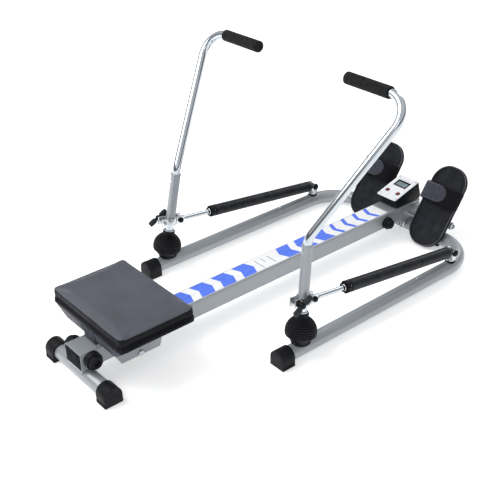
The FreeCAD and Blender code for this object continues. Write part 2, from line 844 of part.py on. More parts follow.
def make_pivot_bases():
    """Fixed half of each universal joint, and the fixed lower bowl of its rubber boot."""
    yokes = []
    bowls = []
    for side in (1, -1):
        across = side * d.base_half_width
        tube_at = (d.pivot_x - 60, across, d.base_tube_z)
        tube = bar("tube_space", d.frame_tube, tube_at, 120, X_AXIS)
        stem = bar("yoke_stem", 14, (d.pivot_x, across, d.base_tube_z), 31)
        floor = block("yoke_floor", (d.pivot_x - 8, across - 20, 56), (d.pivot_x + 8, across + 20, 62))
        cheeks = []
        for cheek in (1, -1):
            inner = across + cheek * 13
            outer = across + cheek * 20
            low, high = sorted((inner, outer), key=float)
            cheeks.append(block("yoke_cheek", (d.pivot_x - 8, low, 58), (d.pivot_x + 8, high, d.pivot_z)))
            cheeks.append(bar("yoke_eye", 8, (d.pivot_x, low, d.pivot_z), 7, Y_AXIS))
        hole_at = (d.pivot_x, across - 25, d.pivot_z)
        hole = bar("yoke_hole", d.pin_radius + d.running_gap, hole_at, 50, Y_AXIS)
        solid = union("yoke_solid", stem, floor, *cheeks)
        yokes.append(less("pivot_yoke", solid, tube, hole))
        centre = (d.pivot_x, across, d.pivot_z)
        shell = less(
            "bowl_shell",
            ball("bowl_outside", d.boot_outer - d.boot_wall - 1, centre),
            ball("bowl_inside", d.boot_outer - d.boot_wall - 3.5, centre),
        )
        top_cut = block(
            "bowl_top_cut",
            (d.pivot_x - 60, across - 60, d.pivot_z + 16),
            (d.pivot_x + 60, across + 60, d.pivot_z + 60),
        )
        bowl_tube = bar("bowl_tube_space", d.frame_tube, tube_at, 120, X_AXIS)
        bowl_stem = bar("bowl_stem_space", 14, (d.pivot_x, across, d.base_tube_z), 31)
        bowls.append(less("boot_bowl", shell, top_cut, bowl_tube, bowl_stem))
    publish("pivot_yokes", group("pivot_yokes", *yokes))
    publish("boot_bases", group("boot_bases", *bowls))


def make_arm(side_name, side):
    """One arm: cross, post, boot, telescoping tubes, grip and the clamp for the cylinder."""
    frame = arm_placement(side)
    half = d.cross_half
    core = block("cross_core", (-half, -half, -half), (half, half, half))
    pin_x = bar("cross_pin_x", d.pin_radius, (-15, 0, 0), 30, X_AXIS)
    pin_y = bar("cross_pin_y", d.pin_radius, (0, -20, 0), 40, Y_AXIS)
    lean_only = FreeCAD.Placement(frame.Base, FreeCAD.Rotation(Y_AXIS, float(d.arm_lean)))
    publish(f"pivot_cross_{side_name}", union("pivot_cross", core, pin_x, pin_y), lean_only)

    ears = []
    for low, high in ((-15.5, -10.5), (10.5, 15.5)):
        ears.append(block("post_ear", (low, -8, 0), (high, 8, 24)))
        ears.append(bar("post_eye", 8, (low, 0, 0), 5, X_AXIS))
    bridge = block("post_bridge", (-15.5, -11, 20), (15.5, 11, 34))
    shaft = bar("post_shaft", d.post_radius, (0, 0, 30), d.post_top - 30)
    pin_hole = bar("post_pin_hole", d.pin_radius + d.running_gap, (-20, 0, 0), 40, X_AXIS)
    post = less("pivot_post", union("post_solid", bridge, shaft, *ears), pin_hole)
    publish(f"pivot_post_{side_name}", post, frame)

    dome = less(
        "boot_dome",
        ball("boot_outside", d.boot_outer, NO_SHIFT),
        ball("boot_inside", d.boot_outer - d.boot_wall, NO_SHIFT),
        block("boot_lower_cut", (-60, -60, -60), (60, 60, -13)),
    )
    collar = bar("boot_collar", 18, (0, 0, 40), 17)
    neck = bar("boot_neck", d.post_radius + 0.05, (0, 0, 0), 80)
    publish(f"boot_cover_{side_name}", less("boot_cover", union("boot_solid", dome, collar), neck), frame)

    tube_length = d.lower_tube_top - d.lower_tube_low
    sleeve = less(
        "lower_tube",
        bar("lower_tube_outside", d.lower_tube_radius, (0, 0, d.lower_tube_low), tube_length),
        bar("lower_tube_inside", d.post_radius + 0.05, (0, 0, d.lower_tube_low), tube_length),
    )
    publish(f"lower_tube_{side_name}", sleeve, frame)

    path = handle_path(side)
    bends = (d.elbow_bend, d.handle_bend)
    outside = bent_solid("handle_outside", path, bends, d.upper_tube_radius)
    inside = bent_solid("handle_inside", path, bends, d.upper_tube_radius - d.upper_tube_wall)
    publish(f"upper_tube_{side_name}", less("upper_tube", outside, inside))

    grip_start = path[2].y - side * float(d.grip_inset)
    grip_at = (d.handle_x, grip_start, d.handle_z)
    grip_length = side * (grip_start - path[3].y) + 5
    grip_body = bar("grip_outside", d.grip_radius, grip_at, grip_length, Y_AXIS * -side)
    grip_space = bar("grip_inside", d.upper_tube_radius, grip_at, grip_length - 5, Y_AXIS * -side)
    publish(f"hand_grip_{side_name}", less("hand_grip", grip_body, grip_space))
    make_clamp(side_name, side, frame)


def handle_path(side):
    """Centre line of the upper tube, from inside the lower tube to the end of the grip."""
    frame = arm_placement(side)
    return [
        frame.multVec(vector(0, 0, d.upper_tube_low)),
        frame.multVec(vector(0, 0, d.elbow_height)),
        vector(d.handle_x, side * d.handle_outer_y, d.handle_z),
        vector(d.handle_x, side * d.handle_inner_y, d.handle_z),
    ]


def make_clamp(side_name, side, frame):
    """Two-jaw clamp round the lower tube, its cylinder bolt and its T-handle screw."""
    half = d.clamp_length / 2
    low = d.clamp_height - half
    high = d.clamp_height + half
    bulge = d.lower_tube_radius + d.clamp_wall
    flange = d.clamp_gap / 2
    jaws = []
    for jaw in (1, -1):
        near, far = sorted((jaw * flange, jaw * (flange + d.jaw_thick)), key=float)
        plate = block("jaw_plate", (-d.screw_reach - 12, near, low), (d.rod_bolt_reach + 12, far, high))
        round_part = bar("jaw_round", bulge, (0, 0, low), d.clamp_length)
        near, far = sorted((jaw * flange, jaw * 40), key=float)
        half_space = block("jaw_half", (-bulge, near, low - 1), (bulge, far, high + 1))
        cheek = shared("jaw_cheek", round_part, half_space)
        tube_space = bar("jaw_tube_space", d.lower_tube_radius, (0, 0, low - 1), d.clamp_length + 2)
        bolt_at = (d.rod_bolt_reach, -30, d.clamp_height)
        bolt_hole = bar("jaw_bolt_hole", d.bolt_radius + d.running_gap, bolt_at, 60, Y_AXIS)
        screw_at = (-d.screw_reach, -30, d.clamp_height)
        screw_hole = bar("jaw_screw_hole", d.bolt_radius + d.running_gap, screw_at, 60, Y_AXIS)
        jaws.append(less("clamp_jaw", union("jaw_solid", plate, cheek), tube_space, bolt_hole, screw_hole))
    publish(f"cylinder_clamp_{side_name}", group("cylinder_clamp", *jaws), frame)

    face = flange + d.jaw_thick
    shank = bar("clamp_shank", d.bolt_radius, (d.rod_bolt_reach, -face, d.clamp_height), face * 2, Y_AXIS)
    caps = []
    for end in (1, -1):
        cap_at = (d.rod_bolt_reach, end * face, d.clamp_height)
        caps.append(turned("clamp_cap", dome_profile(8.5, 8), cap_at, toward(Y_AXIS * end)))
    publish(f"clamp_bolt_{side_name}", union("clamp_bolt", shank, *caps), frame)

    screw = bar("screw_shank", d.bolt_radius, (0, -side * (face + 5), 0), face * 2 + 10, Y_AXIS * side)
    hub = bar("screw_hub", 10, (0, side * (face + 0.4), 0), 22, Y_AXIS * side)
    bar_at = (-d.handle_bar_half, side * (face + 16.5), 0)
    grip = bar("screw_bar", 7, bar_at, d.handle_bar_half * 2, X_AXIS)
    turn = FreeCAD.Rotation(Y_AXIS, -float(d.handle_bar_turn))
    place = frame.multiply(FreeCAD.Placement(vector(-d.screw_reach, 0, d.clamp_height), turn))
    publish(f"clamp_handle_{side_name}", union("clamp_handle", screw, hub, grip), place)


# ---------------------------------------------------------------- cylinders
def rod_line(side):
    """Front pivot of a cylinder and the centre of its rod eye."""
    front = vector(d.swivel_x, side * d.base_half_width, d.swivel_z)
    bolt = arm_placement(side).multVec(vector(d.rod_bolt_reach, 0, d.clamp_height))
    along = (bolt - front).normalize()
    across = along.cross(Y_AXIS).normalize() * -1
    eye = bolt + along * float(d.eye_shift_along) + across * float(d.eye_shift_across)
    return front, eye


def make_cylinder(side_name, side):
    """Swivelling bracket, cylinder with its dial, and the rod that ends in an open eye."""
    front, eye = rod_line(side)
    along = (eye - front).normalize()
    reach = (eye - front).Length
    level = FreeCAD.Vector(along.x, along.y, 0).normalize()
    pin_axis = level.cross(Z_AXIS)
    yaw = FreeCAD.Placement(front, FreeCAD.Rotation(Y_AXIS, pin_axis))
    drop = d.swivel_z - d.base_tube_z - 27
    base = bar("bracket_base", 14, (0, 0, -drop + 0.3), 4)
    stud = bar("bracket_stud", 5, (0, 0, -drop - 20), 22)
    ears = []
    for ear in (1, -1):
        low, high = sorted((ear * 10.4, ear * 13.9))
        ears.append(block("bracket_ear", (-9, low, -drop + 2), (9, high, 0)))
        ears.append(bar("bracket_eye", 9, (0, low, 0), 3.5, Y_AXIS))
    hole = bar("bracket_hole", d.bolt_radius + d.running_gap, (0, -20, 0), 40, Y_AXIS)
    bracket = less("swivel_bracket", union("bracket_solid", base, stud, *ears), hole)
    publish(f"swivel_bracket_{side_name}", bracket, yaw)

    shank = bar("swivel_shank", d.bolt_radius, (0, -13.9, 0), 27.8, Y_AXIS)
    caps = [
        turned("swivel_cap", dome_profile(8, 7), (0, end * 13.9, 0), toward(Y_AXIS * end))
        for end in (1, -1)
    ]
    publish(f"swivel_pin_{side_name}", union("swivel_pin", shank, *caps), yaw)

    frame = FreeCAD.Placement(front, FreeCAD.Rotation(pin_axis.cross(along), pin_axis, along, "ZYX"))
    lug = bar("cylinder_lug", 9, (0, -9.9, 0), 19.8, Y_AXIS)
    neck = block("cylinder_neck", (-8, -9.9, 0), (8, 9.9, d.cylinder_start + 2))
    length = d.cylinder_end - d.cylinder_start
    barrel = bar("cylinder_barrel", d.cylinder_radius, (0, 0, d.cylinder_start), length)
    spigot = bar("cylinder_spigot", 9, (0, 0, d.cylinder_end), d.dial_length)
    bore = bar("cylinder_bore", d.cylinder_bore, (0, 0, d.cylinder_start + 8), length - 16)
    gland = bar("cylinder_gland", d.rod_radius + d.running_gap, (0, 0, d.cylinder_end - 9), 60)
    pin_hole = bar("cylinder_pin_hole", d.bolt_radius + d.running_gap, (0, -15, 0), 30, Y_AXIS)
    solid = union("cylinder_solid", lug, neck, barrel, spigot)
    publish(f"cylinder_body_{side_name}", less("cylinder_body", solid, bore, gland, pin_hole), frame)

    dial = bar("dial_disc", d.dial_radius, (0, 0, d.cylinder_end + 0.3), d.dial_length - 0.3)
    notches = []
    for step in range(6):
        angle = math.radians(step * 60)
        at = (d.dial_radius * math.cos(angle), d.dial_radius * math.sin(angle), d.cylinder_end)
        notches.append(bar("dial_notch", 3.2, at, 30))
    spigot_space = bar("dial_bore", 9 + d.running_gap, (0, 0, d.cylinder_end), 30)
    publish(f"resistance_dial_{side_name}", less("resistance_dial", dial, spigot_space, *notches), frame)

    piston = bar("piston", d.cylinder_bore - d.running_gap, (0, 0, d.piston_place), 16)
    rod = bar("rod", d.rod_radius, (0, 0, d.piston_place), reach - float(d.piston_place) - 26)
    rod_end = bar("rod_end", d.eye_radius, (0, -d.eye_width / 2, reach), d.eye_width, Y_AXIS)
    rod_neck = bar("rod_neck", d.eye_width / 2 - 0.3, (0, 0, reach - 30), 20)
    opening = bar("rod_opening", d.eye_bore, (0, -10, reach), 20, Y_AXIS)
    solid = union("rod_solid", piston, rod, rod_neck, rod_end)
    publish(f"piston_rod_{side_name}", less("piston_rod", solid, opening), frame)


# ---------------------------------------------------------------- console
def console_placement():
    turn = FreeCAD.Rotation(Y_AXIS, -float(d.console_tilt))
    return FreeCAD.Placement(vector(d.console_x, 0, d.console_z), turn)


def console_bulk(name, half_width):
    """The wedge of the console, thicker toward the front, in its own tilted frame."""
    length = d.console_half_length
    side_shape = [
        (-length, 0),
        (-length, 6 - d.console_rear_depth),
        (8 - length, -d.console_rear_depth),
        (length - 12, -d.console_depth),
        (length, 10 - d.console_depth),
        (length, 0),
    ]
    return prism(name, "XZ_Plane", [side_shape], half_width * 2, True)


def make_console():
    """Sloping console: stem, case, face plate, display window and two push buttons."""
    frame = console_placement()
    length = d.console_half_length
    bulk = console_bulk("console_bulk", d.console_half_width)
    soften(bulk, 6, lambda e: runs_along(e, Z_AXIS))
    wells = [
        bar("button_well", d.button_radius + 2, (-d.button_back, side * d.button_spread, -6), 7)
        for side in (1, -1)
    ]
    publish("console_case", less("console_case", bulk, *wells), frame)

    plate = prism(
        "face_plate",
        "XY_Plane",
        [rectangle(length - 1, -d.console_half_width + 1, d.console_half_width - 1)],
        d.face_thick,
    )
    soften(plate, 6, lambda e: runs_along(e, Z_AXIS))
    across = d.window_half_width
    slack = d.window_slack
    window_space = block(
        "window_space",
        (d.window_rear - slack, -across - slack, -1),
        (d.window_front + slack, across + slack, d.face_thick + 1),
    )
    button_space = []
    for side in (1, -1):
        hole_at = (-d.button_back, side * d.button_spread, -1)
        button_space.append(bar("button_space", d.button_radius + d.running_gap, hole_at, 5))
    publish("console_face", less("console_face", plate, window_space, *button_space), frame)
    rim = block("window_rim", (d.window_rear, -across, 0), (d.window_front, across, d.face_thick))
    edge = d.window_rim
    lens = block(
        "window_lens",
        (d.window_rear + edge, -across + edge, 0),
        (d.window_front - edge, across - edge, d.face_thick + 1.2),
    )
    publish("console_window", union("console_window", rim, lens), frame)

    top = d.beam_underside + d.beam_height
    stem = block("stem_block", (d.console_x - 14, -20, top), (d.console_x + 26, 20, top + 40))
    head = group("stem_head_space", console_bulk("stem_head_bulk", d.console_half_width))
    head.Placement = frame
    publish("console_stem", less("console_stem", stem, head))

    for side_name, side in SIDES:
        at = (-d.button_back, side * d.button_spread, -4)
        cap = bar("button_cap", d.button_radius, at, d.face_thick + 4 + 2.6)
        skirt = bar("button_skirt", d.button_radius + 1.6, at, 2)
        publish(f"button_{side_name}", union("button", cap, skirt), frame)


def check_document():
    """Stop if any object failed or any sub-part has no valid solid."""
    doc.recompute()
    failed = [o.Name for o in doc.Objects if "Invalid" in o.State or "Error" in o.State]
    if failed:
        raise RuntimeError(f"objects that failed: {failed}")
    for node, item in nodes.items():
        shape = item.Shape
        if shape.isNull() or not shape.isValid() or not shape.Solids:
            raise RuntimeError(f"sub-part {node} has no valid solid")


def write_parts():
    os.makedirs("parts", exist_ok=True)
    for node, item in nodes.items():
        item.Shape.exportStep(f"parts/{node}.step")


def main():
    make_rail()
    make_bumpers()
    make_rear_stabiliser()
    make_base()
    make_cradle()
    make_frame_fasteners()
    make_pedal_axle()
    make_seat()
    make_pivot_bases()
    make_console()
    for side_name, side in SIDES:
        make_pedal(side_name, side)
        make_arm(side_name, side)
        make_cylinder(side_name, side)
    check_document()
    write_parts()
    print(f"{len(nodes)} nodes written")


main()
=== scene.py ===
import json
import math
from contextlib import contextmanager

import bmesh
import bpy
from mathutils import Matrix, Vector, noise
from mathutils.bvhtree import BVHTree

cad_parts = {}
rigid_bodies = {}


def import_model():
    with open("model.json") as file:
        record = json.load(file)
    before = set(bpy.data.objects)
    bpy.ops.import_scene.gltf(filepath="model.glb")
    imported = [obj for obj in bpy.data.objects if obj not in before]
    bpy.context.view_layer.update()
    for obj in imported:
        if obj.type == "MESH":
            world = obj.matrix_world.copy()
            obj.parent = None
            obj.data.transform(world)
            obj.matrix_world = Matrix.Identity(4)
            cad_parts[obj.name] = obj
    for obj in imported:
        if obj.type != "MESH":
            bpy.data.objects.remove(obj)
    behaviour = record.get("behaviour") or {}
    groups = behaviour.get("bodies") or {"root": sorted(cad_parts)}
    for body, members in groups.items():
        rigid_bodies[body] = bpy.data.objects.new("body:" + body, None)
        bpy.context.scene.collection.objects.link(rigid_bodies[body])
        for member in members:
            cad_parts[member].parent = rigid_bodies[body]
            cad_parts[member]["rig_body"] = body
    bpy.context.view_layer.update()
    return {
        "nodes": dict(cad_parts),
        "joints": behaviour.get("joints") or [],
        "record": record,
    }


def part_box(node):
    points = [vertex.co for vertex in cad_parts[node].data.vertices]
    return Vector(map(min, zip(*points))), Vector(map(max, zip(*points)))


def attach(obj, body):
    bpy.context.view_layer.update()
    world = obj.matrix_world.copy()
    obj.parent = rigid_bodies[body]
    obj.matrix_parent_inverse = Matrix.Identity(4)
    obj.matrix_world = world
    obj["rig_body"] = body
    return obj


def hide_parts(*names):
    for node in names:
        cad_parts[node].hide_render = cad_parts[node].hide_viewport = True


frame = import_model()

MM = 0.001
SIDES = (("left", 1), ("right", -1))
JOINTS = {joint["name"]: joint for joint in frame["joints"]}
X_AXIS = Vector((1, 0, 0))
Y_AXIS = Vector((0, 1, 0))
Z_AXIS = Vector((0, 0, 1))


# ---- camera and light
CAMERA_PLACE = (-1.5909, -1.8455, 1.5649)
CAMERA_AZIMUTH = -39.32
CAMERA_ELEVATION = 30.3
CAMERA_ROLL = -1.42
CAMERA_LENS = 66.14
SENSOR_WIDTH = 36
FLOOR_REACH = 300
FLOOR_DROP = 0.0006
SKY_STRENGTH = 0.68
SKY_STOPS = ((0.03, 1.5), (0.08, 0.30), (0.26, 0.14), (0.40, 0.80))


def add_object(name, data):
    made = bpy.data.objects.new(name, data)
    bpy.context.scene.collection.objects.link(made)
    return made


def add_camera():
    azimuth = math.radians(CAMERA_AZIMUTH)
    elevation = math.radians(CAMERA_ELEVATION)
    back = Vector((
        math.sin(azimuth) * math.cos(elevation),
        -math.cos(azimuth) * math.cos(elevation),
        math.sin(elevation),
    ))
    right = Vector((math.cos(azimuth), math.sin(azimuth), 0))
    turn = Matrix((right, back.cross(right), back)).transposed().to_4x4()
    roll = Matrix.Rotation(math.radians(CAMERA_ROLL), 4, "Z")
    data = bpy.data.cameras.new("camera")
    data.lens = CAMERA_LENS
    data.sensor_width = SENSOR_WIDTH
    data.clip_start = 0.05
    data.clip_end = 60
    camera = add_object("camera", data)
    camera.matrix_world = Matrix.Translation(CAMERA_PLACE) @ turn @ roll
    bpy.context.scene.camera = camera


def add_area_light(name, place, target, size, power):
    data = bpy.data.lights.new(name, "AREA")
    data.shape = "RECTANGLE"
    data.size, data.size_y = size
    data.energy = power
    light = add_object(name, data)
    aim = Vector(target) - Vector(place)
    light.matrix_world = Matrix.Translation(place) @ aim.to_track_quat("-Z", "Y").to_matrix().to_4x4()


def add_studio():
    """Soft boxes and a room that is bright above and darker at eye level."""
    world = bpy.data.worlds.new("studio")
    bpy.context.scene.world = world
    world.use_nodes = True
    nodes = world.node_tree.nodes
    links = world.node_tree.links
    background = nodes["Background"]
    coords = nodes.new("ShaderNodeTexCoord")
    split = nodes.new("ShaderNodeSeparateXYZ")
    ramp = nodes.new("ShaderNodeValToRGB")
    lowest, highest = ramp.color_ramp.elements
    lowest.color = (1.5, 1.5, 1.5, 1)
    highest.color = (1, 1, 1, 1)
    highest.position = 0.75
    for position, level in SKY_STOPS:
        stop = ramp.color_ramp.elements.new(position)
        stop.color = (level, level, level * 1.03, 1)
    links.new(coords.outputs["Generated"], split.inputs[0])
    links.new(split.outputs["Z"], ramp.inputs["Fac"])
    links.new(ramp.outputs["Color"], background.inputs["Color"])
    background.inputs["Strength"].default_value = SKY_STRENGTH
    add_area_light("key", (-2.0, 1.3, 3.0), (0, 0, 0.1), (2.4, 2.4), 78)
    add_area_light("fill", (-2.6, -2.4, 2.2), (0, 0, 0.3), (1.8, 1.8), 8)
    add_area_light("rim", (2.6, 0.4, 2.2), (0.2, 0, 0.3), (0.8, 2.6), 18)
    bpy.context.scene.view_settings.view_transform = "Standard"


def add_floor():
    mesh = bpy.data.meshes.new("floor")
    reach = FLOOR_REACH
    corners = [(-reach, -reach, 0), (reach, -reach, 0), (reach, reach, 0), (-reach, reach, 0)]
    mesh.from_pydata(corners, [], [(0, 1, 2, 3)])
    floor = add_object("floor", mesh)
    floor.location.z = -FLOOR_DROP
    material = bpy.data.materials.new("pale_floor")
    material.use_nodes = True
    values = {
        "Base Color": (0.93, 0.93, 0.93, 1), "Roughness": 0.9, "Specular IOR Level": 0.1,
        "Emission Color": (1, 1, 1, 1), "Emission Strength": 0.42,
    }
    for socket, value in values.items():
        material.node_tree.nodes["Principled BSDF"].inputs[socket].default_value = value
    mesh.materials.append(material)


# ---- materials
class Shade:
    """A principled material with object-space textures for tone, roughness and relief."""

    def __init__(
        self, name, colour, roughness, metallic=0.0, specular=0.5, coat=0.0, coat_rough=0.1, sheen=0.0
    ):
        self.material = bpy.data.materials.new(name)
        self.material.use_nodes = True
        self.tree = self.material.node_tree
        self.shader = self.tree.nodes["Principled BSDF"]
        self.colour = colour
        self.roughness = roughness
        values = {
            "Base Color": (*colour, 1), "Roughness": roughness, "Metallic": metallic,
            "Specular IOR Level": specular, "Coat Weight": coat, "Coat Roughness": coat_rough,
            "Sheen Weight": sheen,
        }
        for socket, value in values.items():
            self.shader.inputs[socket].default_value = value
        self.coords = self.tree.nodes.new("ShaderNodeTexCoord").outputs["Object"]
        self.normal = None

    def node(self, kind, inputs, **values):
        made = self.tree.nodes.new(kind)
        for prop, value in values.items():
            setattr(made, prop, value)
        for socket, value in inputs.items():
            made.inputs[socket].default_value = value
        return made

    def link(self, source, target):
        self.tree.links.new(source, target)

    def noise(self, scale, detail, stretch=(1, 1, 1)):
        mapping = self.node("ShaderNodeMapping", {"Scale": stretch})
        self.link(self.coords, mapping.inputs["Vector"])
        texture = self.node("ShaderNodeTexNoise", {"Scale": scale, "Detail": detail, "Roughness": 0.55})
        self.link(mapping.outputs["Vector"], texture.inputs["Vector"])
        return texture.outputs["Fac"]

    def cells(self, scale):
        texture = self.node("ShaderNodeTexVoronoi", {"Scale": scale})
        self.link(self.coords, texture.inputs["Vector"])
        return texture.outputs["Distance"]

    def mapped(self, source, low, high):
        limits = {"From Min": 0.3, "From Max": 0.7, "To Min": low, "To Max": high}
        node = self.node("ShaderNodeMapRange", limits)
        self.link(source, node.inputs["Value"])
        return node.outputs["Result"]

    def tone(self, source, dark, light):
        """Vary the base colour between two multiples of itself."""
        mix = self.node("ShaderNodeMix", {}, data_type="RGBA")
        mix.inputs["A"].default_value = (*[c * dark for c in self.colour], 1)
        mix.inputs["B"].default_value = (*[min(1, c * light) for c in self.colour], 1)
        self.link(self.mapped(source, 0, 1), mix.inputs["Factor"])
        self.link(mix.outputs["Result"], self.shader.inputs["Base Color"])

    def vary_roughness(self, source, spread):
        low = max(0.02, self.roughness - spread)
        high = min(1, self.roughness + spread)
        self.link(self.mapped(source, low, high), self.shader.inputs["Roughness"])

    def relief(self, source, strength, distance):
        bump = self.node("ShaderNodeBump", {"Strength": strength, "Distance": distance})
        self.link(source, bump.inputs["Height"])
        if self.normal:
            self.link(self.normal, bump.inputs["Normal"])
        self.normal = bump.outputs["Normal"]
        self.link(self.normal, self.shader.inputs["Normal"])


ALONG_PART = (1, 8, 1)
ALONG_GRAIN = (1, 6, 1)
BACK_AND_FORTH = (0.25, 1, 1)
SCUFFS = (0.06, 1, 1)
MATERIALS = {}


def surface(name, colour, roughness, tone, rubbed, *bumps, **options):
    """Add a material with one tone, one roughness pattern and rows of relief.

    tone is (scale, detail, dark, light), rubbed (scale, detail, spread) and a bump
    (scale, detail, strength, depth in metres), each with an optional stretch at its end.
    A bump whose detail is 0 has cells instead of noise.
    """
    shade = Shade(name, colour, roughness, **options)
    scale, detail, dark, light, *stretch = tone
    shade.tone(shade.noise(scale, detail, *stretch), dark, light)
    if rubbed:
        scale, detail, spread, *stretch = rubbed
        shade.vary_roughness(shade.noise(scale, detail, *stretch), spread)
    for scale, detail, strength, depth, *stretch in bumps:
        source = shade.noise(scale, detail, *stretch) if detail else shade.cells(scale)
        shade.relief(source, strength, depth)
    MATERIALS[name] = shade.material


def moulded_plastic(name, colour, roughness):
    surface(
        name, colour, roughness, (30, 4, 0.75, 1.5), (55, 5, 0.09), (1900, 2, 0.12, 0.0003), specular=0.12
    )


def vinyl(name, colour, specular):
    """Grained seat vinyl: pebble grain, soft creases and a worn sheen."""
    surface(
        name, colour, 0.5, (11, 6, 0.86, 1.12), (18, 6, 0.08),
        (720, 0, 0.35, 0.0005), (160, 5, 0.16, 0.0006), specular=specular,
    )


def webbing():
    """Woven strap: two crossed ribs at the scale of the yarn."""
    shade = Shade("strap_webbing", (0.006, 0.006, 0.008), 0.8, specular=0.12, sheen=0.03)
    shade.tone(shade.noise(240, 3), 0.6, 1.9)
    for axis, scale in (("X", 330), ("Y", 520)):
        ribs = {"Scale": scale, "Distortion": 0.6, "Detail": 1.5}
        wave = shade.node("ShaderNodeTexWave", ribs, wave_type="BANDS", bands_direction=axis)
        shade.link(shade.coords, wave.inputs["Vector"])
        shade.relief(wave.outputs["Fac"], 0.4, 0.0005)
    MATERIALS["strap_webbing"] = shade.material


def printed_film(name, colour, roughness=0.3):
    """Glossy printed film with faint scuffs along the direction of travel."""
    surface(
        name, colour, roughness, (60, 5, 0.93, 1.05, BACK_AND_FORTH), (320, 4, 0.1, SCUFFS),
        (900, 3, 0.03, 0.0002), coat=0.25, coat_rough=0.12,
    )


surface(
    "silver_paint", (0.335, 0.36, 0.385), 0.36, (2600, 2, 0.86, 1.16), (9, 5, 0.07),
    (420, 3, 0.05, 0.0004), metallic=0.25, coat=0.15, coat_rough=0.14,
)
surface(
    "chrome", (0.60, 0.65, 0.69), 0.10, (14, 4, 0.95, 1.03), (60, 5, 0.035),
    (140, 2, 0.015, 0.0003), metallic=1.0,
)
surface(
    "zinc_steel", (0.66, 0.69, 0.71), 0.24, (35, 5, 0.82, 1.06), (300, 4, 0.09, ALONG_PART),
    (700, 3, 0.06, 0.0003, ALONG_GRAIN), metallic=1.0,
)
surface(
    "black_rubber", (0.007, 0.0075, 0.009), 0.52, (26, 5, 0.7, 1.7), (48, 5, 0.1),
    (1500, 3, 0.16, 0.0004), specular=0.14,
)
surface(
    "grip_foam", (0.013, 0.013, 0.014), 0.88, (90, 4, 0.7, 1.6), None,
    (1300, 0, 0.5, 0.0005), (260, 4, 0.22, 0.0006), specular=0.12, sheen=0.03,
)
moulded_plastic("cylinder_black", (0.019, 0.021, 0.025), 0.3)
moulded_plastic("black_plastic", (0.0065, 0.007, 0.009), 0.46)
surface(
    "pedal_plastic", (0.011, 0.012, 0.016), 0.54, (40, 5, 0.7, 1.7), (30, 4, 0.1),
    (520, 0, 0.45, 0.0006), (1600, 2, 0.12, 0.0003), specular=0.14,
)
webbing()
vinyl("seat_vinyl", (0.086, 0.091, 0.112), 0.3)
vinyl("seat_side", (0.0045, 0.005, 0.0075), 0.12)
moulded_plastic("pan_plastic", (0.058, 0.064, 0.080), 0.46)
surface(
    "roller_nylon", (0.42, 0.42, 0.40), 0.42, (50, 4, 0.8, 1.12), None,
    (900, 2, 0.08, 0.0003, ALONG_GRAIN),
)
printed_film("track_print", (0.93, 0.94, 0.96))
printed_film("track_blue", (0.075, 0.190, 0.90))
printed_film("console_print", (0.84, 0.86, 0.89), 0.34)
moulded_plastic("display_bezel", (0.010, 0.010, 0.012), 0.22)
MATERIALS["display"] = MATERIALS["display_bezel"]
surface(
    "display_panel", (0.19, 0.26, 0.30), 0.22, (24, 3, 0.9, 1.1), (90, 3, 0.04),
    specular=0.4, coat=0.3, coat_rough=0.05,
)
surface(
    "red_plastic", (0.24, 0.008, 0.012), 0.32, (80, 3, 0.8, 1.15), None,
    (1400, 2, 0.06, 0.0002), specular=0.4, coat=0.1,
)
# light grey for the pedal's rim bead: a painted highlight along the black pedal's rounded top edge
moulded_plastic("rim_highlight_plastic", (0.085, 0.088, 0.100), 0.34)
moulded_plastic("knob_plastic", (0.030, 0.031, 0.036), 0.4)
moulded_plastic("plug_plastic", (0.0035, 0.0045, 0.008), 0.8)
surface(
    "flap_fabric", (0.046, 0.047, 0.062), 0.92, (300, 5, 0.6, 1.7), None,
    (1100, 5, 0.5, 0.0006), specular=0.1, sheen=0.12,
)
printed_film("mark_grey", (0.36, 0.34, 0.42))
printed_film("mark_white", (0.70, 0.70, 0.70))
printed_film("segment_black", (0.02, 0.022, 0.02))


def paint_cad_nodes():
    """Every CAD node gets the material of its slot."""
    for part in frame["record"]["subparts"]:
        node = frame["nodes"][part["node"]]
        material = MATERIALS[part["material_slot"]]
        if not node.material_slots:
            node.data.materials.append(material)
        for slot in node.material_slots:
            slot.material = material


# ---- mesh helpers
def new_piece(name, mesh, body, material):
    """A visual piece: it rides on a CAD body and takes one of the script's materials."""
    piece = add_object(name, mesh)
    if not mesh.materials:
        mesh.materials.append(MATERIALS[material])
    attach(piece, body)
    return piece


def mesh_of(name, vertices, faces, smooth=True):
    mesh = bpy.data.meshes.new(name)
    mesh.from_pydata([tuple(v) for v in vertices], [], faces)
    mesh.validate()
    if smooth:
        mesh.shade_smooth()
    return mesh


@contextmanager
def edited(mesh):
    """Edit a mesh, and leave its faces with their normals pointing out of it."""
    work = bmesh.new()
    work.from_mesh(mesh)
    yield work
    bmesh.ops.recalc_face_normals(work, faces=work.faces)
    work.to_mesh(mesh)
    work.free()


def faces_outward(mesh):
    with edited(mesh):
        return mesh


def ring_faces(rings, around, closed=False):
    """Quads between rings of vertices; closed joins the last ring to the first."""
    faces = []
    for ring in range(rings if closed else rings - 1):
        here = ring * around
        above = (ring + 1) % rings * around
        for turn in range(around):
            following = (turn + 1) % around
            faces.append((here + turn, here + following, above + following, above + turn))
    return faces


ARC_STEPS = 3


def rounded_profile(corners):
    """(radius, height) or (radius, height, rounding) corners as a profile with small arcs."""
    points = []
    for index, (radius, height, *rounding) in enumerate(corners):
        here = Vector((radius, height))
        if not any(rounding) or index in (0, len(corners) - 1):
            points.append(here)
            continue
        before = Vector(corners[index - 1][:2]) - here
        after = Vector(corners[index + 1][:2]) - here
        reach = min(rounding[0], before.length * 0.48, after.length * 0.48)
        start = here + before.normalized() * reach
        end = here + after.normalized() * reach
        for step in range(ARC_STEPS + 1):
            t = step / ARC_STEPS
            points.append(start * (1 - t) ** 2 + here * 2 * t * (1 - t) + end * t ** 2)
    return points


